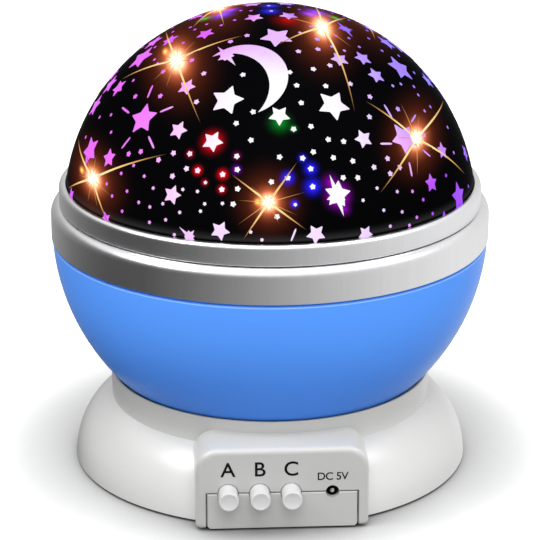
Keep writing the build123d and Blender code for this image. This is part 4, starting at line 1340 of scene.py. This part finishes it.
    def lay_on(self, piece: Piece, name: str, stand: float, material: Material) -> None:
        """Wrap a joined group of flat shapes onto the dome, thicken, dress it and let it ride there.

        Args:
            piece: The shapes, placed about the dome's centre.
            name: The piece's name.
            stand: How far its face stands off the dome.
            material: Its finish.
        """
        size = self.radius + stand
        apply_modifier(piece, "CAST", cast_type="SPHERE", factor=1.0, radius=0.0, use_radius_as_size=False, size=size)
        edit(piece)
        bpy.ops.mesh.normals_make_consistent(inside=False)
        use_mode("OBJECT")
        outward = sum(face.area * face.normal.dot(face.center.normalized()) for face in piece.data.polygons)
        if outward < 0:
            piece.data.flip_normals()
        apply_modifier(piece, "SOLIDIFY", thickness=stand + 0.05 * MM, offset=-1.0)
        choose(piece)
        bpy.ops.transform.translate(value=(0, 0, self.centre))
        set_down(piece, name)
        own_material(piece, material)
        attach(piece, "dome")
        report(piece)

    def reach(self, height: float) -> float:
        """Radius of the dome's surface at a height."""
        return sqrt(self.radius**2 - (height - self.centre) ** 2)

    def add_band(self) -> None:
        """The silver band that hugs the dome's foot, with a rounded upper lip."""
        top = self.foot + self.band_height
        edge = 0.25 * MM
        side = self.band_radius - edge
        section = [(self.reach(self.foot), self.foot), (side, self.foot)]
        section += arc((side, self.foot + edge), edge, -90, 0, 4)[1:]
        section += arc((self.band_radius - self.band_round, top - self.band_round), self.band_round, 0, 90, 9)
        section += [(self.reach(top) + 0.2 * MM, top), (self.reach(top), top - 0.2 * MM)]
        section += [(self.reach(z), z) for z in (top - 1.5 * MM, top - 3 * MM, top - 4.5 * MM)]
        band = turned("dome_band", section)
        own_material(band, silver())
        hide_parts("dome_collar")
        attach(band, "dome")
        report(band)


# The head, the base and what is inside
# ----------------------------------------


@dataclass
class TurningHead:
    """The blue bowl, the silver trim ring and what is inside them.

    Attributes:
        radius: The ring's outer radius.
        bottom: Height of the ring's lower edge.
        band: Height of its upright face.
        shoulder: Radius of its rounded shoulder.
        spigot: Outer radius of the upright spigot.
        spigot_wall: Its wall.
        rise: Height of the spigot above the shoulder.
        wall: The ring's wall.
        web: Thickness of the web under the shoulder.
        slot_width: Width of each leg of the bayonet slots.
        slot_sill: Height of their sill above the shoulder.
        slot_drop: Height of their locking leg.
        slot_turn: How far round that leg stands.
    """

    radius: float = 65.0 * MM
    bottom: float = 70.07 * MM
    band: float = 7.2 * MM
    shoulder: float = 3.0 * MM
    spigot: float = 58.0 * MM
    spigot_wall: float = 1.6 * MM
    rise: float = 4.7 * MM
    wall: float = 1.5 * MM
    web: float = 2.0 * MM
    slot_width: float = 9.0 * MM
    slot_sill: float = 1.0 * MM
    slot_drop: float = 3.6 * MM
    slot_turn: float = 7.4 * MM

    def build(self) -> None:
        """Model the ring and dress the rest."""
        self.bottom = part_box("trim_ring")[0].z
        self.add_ring()
        dress(self.bowl_finish(), "bowl")
        dress(Moulding("reflector_white", (0.80, 0.80, 0.80), 0.22, mottling=0.04).build(), "inner_deck")

    def bowl_finish(self) -> Material:
        """Sky-blue gloss with painted shade that darkens it a little towards the foot, a painted highlight line under
        the ring and a painted glow that brightens its upper part.

        Returns:
            The material.
        """
        material, sheet, shader = new_material("bowl_sky_blue")
        blue = (0.10, 0.33, 1.0)
        mould = use_effect(sheet, moulded, Colour=blue, Mottling=0.03, Roughness=0.26, Gloss_spread=0.05)
        height = sheet.axes()["Z"]
        # Painted shade: the blue darkens towards the foot.
        deep = sheet.blend(sheet.remap(height, 26 * MM, 62 * MM), (0.74, 0.80, 0.88), WHITE)
        tint = sheet.blend(1.0, mould["Colour"], deep, "MULTIPLY")
        # Painted highlight: a pale blue line all round the bowl just under the ring.
        rim, soft = self.bottom - 1.05 * MM, 0.26 * MM
        edge = sheet.times(sheet.remap(height, rim - soft, rim), sheet.remap(height, rim, rim + soft, (1, 0)), 0.6)
        rim_with_painted_highlight = sheet.blend(edge, tint, (0.55, 0.82, 1.0))
        thrown = sheet.add("LightPath").outputs["Is Diffuse Ray"]
        # Painted glow: the bowl gives off a little of its own blue, more towards the top, to brighten its upper part.
        through = sheet.times(sheet.remap(height, 30 * MM, 62 * MM), 0.11)
        sheet.wire(
            shader,
            Base_Color=sheet.blend(thrown, rim_with_painted_highlight, (0.34, 0.37, 0.43)),
            Emission_Color=sheet.blend(through, BLACK, mould["Colour"]),
            Emission_Strength=1.0,
            Roughness=mould["Roughness"],
            Specular_IOR_Level=0.03,
            Coat_Weight=0.01,
            Coat_Roughness=0.18,
        )
        sheet.relief(shader, mould["Height"], 1e-6)
        return material

    def add_ring(self) -> None:
        """The trim ring: band, rounded shoulder and the spigot with its bayonet slots."""
        ring_top = self.bottom + self.band
        shoulder_top = ring_top + self.shoulder
        spigot_top = shoulder_top + self.rise
        edge = 0.3 * MM
        side, lining = self.radius - edge, self.radius - self.wall
        bore, under = self.spigot - self.spigot_wall, shoulder_top - self.web
        section = [(lining, self.bottom), (side, self.bottom)]
        section += arc((side, self.bottom + edge), edge, -90, 0, 4)[1:]
        section += arc((self.radius - self.shoulder, ring_top), self.shoulder, 0, 90, 13)
        section += [(self.spigot, shoulder_top), (self.spigot, spigot_top - edge)]
        section += [(self.spigot - edge, spigot_top), (bore + edge, spigot_top)]
        section += [(bore, spigot_top - edge), (bore, under), (lining, under)]
        ring = turned("trim_band", section)
        floor = shoulder_top + self.slot_sill
        for start in (90, 210, 330):
            for turn, height in ((0.0, self.rise), (degrees(self.slot_turn / self.spigot), self.slot_drop)):
                self.cut_slot(ring, radians(start + turn), floor, height)
        settle(ring, "trim_band")
        own_material(ring, silver())
        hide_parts("trim_ring")
        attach(ring, "bowl_head")
        report(ring)

    def cut_slot(self, ring: Piece, angle: float, floor: float, height: float) -> None:
        """Cut one leg of a bayonet slot through the spigot.

        Args:
            ring: The ring.
            angle: Bearing of the slot's middle, from +X.
            floor: Height of its sill.
            height: How far it goes up.
        """
        clear_selection()
        bpy.ops.mesh.primitive_cube_add(size=1.0)
        cutter = bpy.context.object
        cutter.scale = (4 * self.spigot_wall, self.slot_width, height)
        cutter.location = (self.spigot * cos(angle), self.spigot * sin(angle), floor + height / 2)
        cutter.rotation_euler = (0, 0, angle)
        bpy.ops.object.transform_apply(location=True, rotation=True, scale=True)
        apply_modifier(ring, "BOOLEAN", operation="DIFFERENCE", object=cutter, solver="EXACT")
        discard(cutter)


@dataclass
class BaseUnit:
    """The white base with its feet, cover, panel lettering and controls.

    Attributes:
        panel: How far in front of the axis the panel's face stands.
        print_stand: Thickness of the printed lettering.
        seam: Half width and height of the parting line round the cover's tab.
        button: Radius of the buttons.
        button_line: Height of their axes.
        dish: How deep their faces are dished.
        round: Radius of their rims.
        flange: Radius and thickness of the flange that holds each button in.
        stem: Radius and length of the stem behind it.
        letters: (text, place across, height of its foot, size) of each label, in millimetres.
    """

    panel: float = 60.0 * MM
    print_stand: float = 0.04 * MM
    seam: Point = (21.45 * MM, 11.4 * MM)
    button: float = 2.85 * MM
    button_line: float = 11.5 * MM
    dish: float = 0.3 * MM
    round: float = 0.42 * MM
    flange: Point = (3.9 * MM, 1.0 * MM)
    stem: Point = (1.8 * MM, 0.9 * MM)
    letters: tuple[tuple[str, float, float, float], ...] = (
        ("A", -15.5, 16.8, 6.2),
        ("B", -6.5, 16.8, 6.2),
        ("C", 2.5, 16.8, 6.2),
        ("DC 5V", 14.3, 15.2, 3.3),
    )

    def build(self) -> None:
        """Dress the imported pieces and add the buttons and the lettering."""
        # panel=0.74 paints shade on the front face of the base shell and of the cover.
        shell = Moulding("base_gloss_white", (0.72, 0.72, 0.71), 0.30, 0.5, 0.22, depth=2e-6, mottling=0.02, panel=0.74)
        cover = replace(shell, name="cover_white", roughness=0.32, coat=0.2)
        dress(replace(shell, seam=self.seam).build(), "base_shell")
        dress(cover.build(), "bottom_cover", "battery_door")
        grey = Moulding("button_pale_grey", (0.66, 0.66, 0.66), 0.36, grain=2600.0, depth=3e-6).build()
        for letter in "abc":
            self.add_button(letter, grey)
        rubber = Moulding("foot_rubber", (0.016, 0.016, 0.017), 0.75, grain=3200.0, depth=2e-5, mottling=0.3)
        dress(rubber.build(), "foot_1", "foot_2", "foot_3", "foot_4")
        dress(Moulding("socket_black", (0.012, 0.012, 0.012), 0.45).build(), "dc_jack")
        dress(Metal("pin_nickel", (0.75, 0.73, 0.70), 0.2, (1, 0.1, 1), 2500.0).build(), "dc_jack_pin")
        ink = Moulding("print_ink", (0.005, 0.005, 0.006), 0.55, grain=4000.0, mottling=0.4, shine=0.1).build()
        for text, across, height, size in self.letters:
            self.add_label(text, across * MM, height * MM, size * MM, ink)

    def add_button(self, letter: str, grey: Material) -> None:
        """A push button: dished face, rounded rim, barrel, retaining flange and stem.

        Args:
            letter: Which button.
            grey: Its finish.
        """
        low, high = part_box(f"button_{letter}")
        length = high.y - low.y
        rim = self.button - self.round
        collar = self.stem[1] + self.flange[1] - length
        back = collar - self.flange[1]
        section = [(0.0, -self.dish)]
        section += [(share * rim, self.dish * (share**2.4 - 1)) for share in (0.3, 0.5, 0.7, 0.85, 0.96)]
        section += arc((rim, -self.round), self.round, 90, 0, 7)
        section += [(self.button, collar), (self.flange[0], collar), (self.flange[0], back)]
        section += [(self.stem[0], back), (self.stem[0], -length), (0.0, -length)]
        button = turned(f"push_button_{letter}", section, steps=64, closed=False)
        button.rotation_euler = (pi / 2, 0, 0)
        button.location = ((low.x + high.x) / 2, low.y, self.button_line)
        settle(button, f"push_button_{letter}")
        own_material(button, grey)
        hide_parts(f"button_{letter}")
        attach(button, f"button_{letter}_body")
        report(button)

    def add_label(self, text: str, across: float, height: float, size: float, ink: Material) -> None:
        """Print one label on the panel.

        Args:
            text: What it says.
            across: Place of its middle across the panel.
            height: Height of the foot of its letters.
            size: Size of its letters.
            ink: Its finish.
        """
        clear_selection()
        bpy.ops.object.text_add()
        label = bpy.context.object
        label.data.body = text
        label.data.size = size
        label.data.align_x = "CENTER"
        label.data.extrude = self.print_stand
        label.data.offset = 0.011 * size
        label.data.space_character = 0.94
        choose(label)
        bpy.ops.object.convert(target="MESH")
        label = bpy.context.object
        label.rotation_euler = (pi / 2, 0, 0)
        label.location = (across, -self.panel, height)
        settle(label, "label_" + text.lower().replace(" ", "_"))
        own_material(label, ink)
        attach(label, "base")
        report(label)


@dataclass
class InnerWorks:
    """The drive, the lamps, the boards, the cells and the wiring.

    Attributes:
        screws: Nodes of the screws.
        contacts: Nodes of bare nickel.
        cells: Nodes of the cells.
        switches: Nodes of the switches.
    """

    screws: tuple[str, ...] = tuple(f"{kind}_screws" for kind in ("cover", "board", "gearbox", "ring", "post", "deck"))
    contacts: tuple[str, ...] = ("battery_contacts_front", "battery_contacts_rear", "hub_retainer")
    cells: tuple[str, ...] = tuple(f"battery_{number}" for number in range(1, 5))
    switches: tuple[str, ...] = tuple(f"switch_{kind}{letter}" for letter in "abc" for kind in ("", "plunger_"))

    def build(self) -> None:
        """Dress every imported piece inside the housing."""
        dress(Metal("screw_zinc", (0.62, 0.62, 0.64), 0.3, (1, 1, 1), 3000.0).build(), *self.screws)
        dress(Metal("contact_nickel", (0.72, 0.70, 0.66), 0.26, (1, 0.2, 1)).build(), *self.contacts)
        dress(Moulding("switch_black", (0.02, 0.02, 0.02), 0.5).build(), *self.switches)
        dress(Moulding("cell_jacket", (0.02, 0.05, 0.12), 0.25, 0.3).build(), *self.cells)
        for node, finish in {
            "motor_can": Metal("motor_steel", (0.58, 0.58, 0.60), 0.28, (0.05, 1, 1)),
            "motor_shaft": Metal("shaft_steel", (0.66, 0.66, 0.68), 0.2, (1, 1, 1)),
            "motor_gearbox": Moulding("gearbox_black", (0.02, 0.02, 0.022), 0.5),
            "drive_ring": Moulding("gear_acetal", (0.72, 0.71, 0.66), 0.4),
            "drive_pinion": Moulding("pinion_acetal", (0.70, 0.69, 0.62), 0.4),
            "lamp_post": Moulding("post_white", (0.70, 0.70, 0.70), 0.4),
            "glide_washer": Moulding("washer_nylon", (0.74, 0.72, 0.62), 0.5),
            "control_board": Laminate("board_green", (0.01, 0.09, 0.03), (0.03, 0.20, 0.06)),
            "led_board": Laminate("board_white", (0.72, 0.72, 0.70), (0.55, 0.56, 0.55)),
            "led_leads": Moulding("lead_grey", (0.20, 0.21, 0.22), 0.5),
            "battery_leads": Moulding("lead_red", (0.40, 0.01, 0.01), 0.5),
            "motor_leads": Moulding("lead_black", (0.012, 0.012, 0.012), 0.5),
            "led_warm": Lens("lens_warm", (1.0, 0.82, 0.55)),
            "led_red": Lens("lens_red", (0.95, 0.05, 0.03)),
            "led_green": Lens("lens_green", (0.05, 0.80, 0.12)),
            "led_blue": Lens("lens_blue", (0.05, 0.14, 0.98)),
        }.items():
            dress(finish.build(), node)
        LOG.info("inner works dressed")


# Studio
# ----------------------------------------


def stand_at(thing: Piece, azimuth: float, elevation: float, distance: float, height: float) -> None:
    """Stand a lamp or camera round the object and aim it there.

    Args:
        thing: The lamp or camera.
        azimuth: Its bearing in degrees, 0 in front and positive to the right.
        elevation: Its height above the horizon in degrees.
        distance: How far away it stands.
        height: Height of the place that it looks at.
    """
    way = sky_vector(azimuth, elevation)
    thing.location = way * distance + Vector((0, 0, height))
    thing.rotation_mode = "QUATERNION"
    thing.rotation_quaternion = (-way).to_track_quat("-Z", "Y")
    bpy.context.collection.objects.link(thing)


@dataclass(frozen=True)
class Softbox:
    """A square soft lamp aimed at the middle of the object.

    Attributes:
        name: Its name.
        azimuth: Its bearing in degrees, 0 in front and positive to the right.
        elevation: Its height above the horizon in degrees.
        size: Side of its panel in metres.
        level: How brightly it lights a white card that faces it, where 1 is white.
        distance: How far away it stands.
        mirrored: Whether shiny pieces show it.
    """

    name: str
    azimuth: float
    elevation: float
    size: float
    level: float
    distance: float = 1.5
    mirrored: bool = True

    def build(self) -> None:
        """Put the lamp up."""
        data = bpy.data.lights.new(self.name, "AREA")
        data.size = self.size
        data.energy = self.level * pi**2 * self.distance**2
        lamp = bpy.data.objects.new(self.name, data)
        lamp.visible_glossy = self.mirrored
        stand_at(lamp, self.azimuth, self.elevation, self.distance, 70 * MM)


@dataclass
class Studio:
    """Pale floor, soft lamps, white surroundings and the camera.

    Attributes:
        look_at: Height that the camera looks at.
        distance: Camera distance.
        elevation: Camera height above the horizon in degrees.
        azimuth: Camera bearing in degrees.
        lens: Focal length in millimetres.
        ambient: Level of the even light from all round.
        mirror_mean: Mean level of what shiny pieces mirror.
        mirror_swing: How far that level rises and falls from side to side.
        bright_side: The side it is brightest on, in degrees to the right of the front.
        contact_reach: How far round the object the floor is in its contact shade.
        softboxes: The lamps.
    """

    look_at: float = 57.55 * MM
    distance: float = 0.8
    elevation: float = 19.47
    azimuth: float = -3.4
    lens: float = 177.8
    ambient: float = 0.26
    mirror_mean: float = 0.52
    mirror_swing: float = 0.44
    bright_side: float = 105.0
    contact_reach: float = 30 * MM
    softboxes: tuple[Softbox, ...] = (
        Softbox("softbox_left", -71, 48, 0.6, 0.38),
        Softbox("softbox_right", 73, 45, 0.5, 0.16),
        Softbox("fill_right", 62, 4, 1.0, 0.20, mirrored=False),
        Softbox("softbox_front", -2, 20, 1.2, 0.15, mirrored=False),
        Softbox("softbox_brow", 0, 46, 1.0, 0.42, mirrored=False),
        Softbox("softbox_top", 10, 78, 1.3, 0.50),
    )

    def build(self) -> None:
        """Set everything up."""
        bpy.context.scene.view_settings.view_transform = "Standard"
        self.add_camera()
        self.add_floor()
        self.add_world()
        for softbox in self.softboxes:
            softbox.build()

    def add_camera(self) -> None:
        """The camera."""
        data = bpy.data.cameras.new("camera")
        data.lens = self.lens
        data.sensor_width = 36.0
        data.clip_start = 0.01
        camera = bpy.data.objects.new("camera", data)
        stand_at(camera, self.azimuth, self.elevation, self.distance, self.look_at)
        bpy.context.scene.camera = camera

    def mirror_level(self, sheet: Sheet, way: Socket) -> Socket:
        """How bright the surroundings look in shiny pieces, by the direction away from the object."""
        lean = sheet.vector("DOT_PRODUCT", way, tuple(sky_vector(self.bright_side, 0)))
        return sheet.sums("MULTIPLY_ADD", lean, self.mirror_swing, self.mirror_mean)

    def add_floor(self) -> None:
        """A wide floor that keeps the shadow and meets the white surroundings."""
        clear_selection()
        bpy.ops.mesh.primitive_grid_add(x_subdivisions=8, y_subdivisions=8, size=6.0)
        floor = bpy.context.object
        floor.name = "floor"
        material, sheet, shader = new_material("floor_white")
        place = sheet.object_place()
        path = sheet.add("LightPath").outputs
        direct = path["Is Camera Ray"]
        # Painted contact shadow: where the object hides the floor, the camera sees the floor darker.
        nearby = sheet.wire(sheet.add("AmbientOcclusion", samples=12), Distance=self.contact_reach)
        hidden = sheet.sums("SUBTRACT", sheet.sums("POWER", nearby["AO"], 1.2), 1.0)
        shade = sheet.sums("MULTIPLY_ADD", direct, hidden, 1.0)
        cream = sheet.blend(sheet.noise(place, 300.0, 2.0), (0.53, 0.53, 0.53), (0.55, 0.55, 0.55))
        cream = sheet.blend(direct, (0.36, 0.36, 0.36), cream)
        sheet.wire(shader, Base_Color=sheet.scaled(cream, shade), Roughness=0.9, Specular_IOR_Level=0.0)
        # Painted shadow: to the camera the floor is darker close round the object and rises to white by 116 mm from the
        # axis.
        rise = sheet.remap(sheet.vector("LENGTH", place), 66 * MM, 116 * MM, (0.37, 1.0))
        lift = sheet.add("Emission", WHITE, sheet.times(direct, sheet.times(rise, shade)))
        seen = sheet.add("AddShader", shader.outputs[0], lift.outputs[0])
        mirrored = sheet.add("Emission", WHITE, self.mirror_level(sheet, sheet.vector("NORMALIZE", place)))
        both = sheet.add("MixShader", path["Is Glossy Ray"], seen.outputs[0], mirrored.outputs[0])
        output = next(node for node in sheet.tree.nodes if node.type == "OUTPUT_MATERIAL")
        sheet.wire(output, Surface=both.outputs[0])
        own_material(floor, material)

    def add_world(self) -> None:
        """White surroundings to the camera, shaded ones in reflections, and a dim even light."""
        world = bpy.data.worlds.new("surroundings")
        bpy.context.scene.world = world
        world.use_nodes = True
        sheet = Sheet(world.node_tree)
        path = sheet.add("LightPath").outputs
        way = sheet.add("TexCoord").outputs["Generated"]
        above = sheet.remap(sheet.axes(way)["Z"], 0.40, 0.62, (0.0, 0.9))
        mirrored = sheet.sums("MINIMUM", sheet.sums("ADD", self.mirror_level(sheet, way), above), 1.0)
        seen = sheet.sums("MAXIMUM", path["Is Camera Ray"], path["Is Transmission Ray"])
        shown = sheet.sums("ADD", seen, sheet.times(path["Is Glossy Ray"], mirrored))
        plain = sheet.sums("SUBTRACT", 1.0, sheet.sums("MAXIMUM", seen, path["Is Glossy Ray"]))
        total = sheet.sums("MULTIPLY_ADD", plain, self.ambient, shown)
        sheet.add("OutputWorld", sheet.add("Background", WHITE, total).outputs[0])


def main() -> None:
    """Build the sub-assemblies in order."""
    logging.basicConfig(level=logging.INFO, format="%(name)s: %(message)s")
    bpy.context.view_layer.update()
    for unit in (BaseUnit(), InnerWorks(), TurningHead(), StarDome(), Studio()):
        unit.build()
        LOG.info("%s done", type(unit).__name__)


if __name__ == "__main__":
    main()
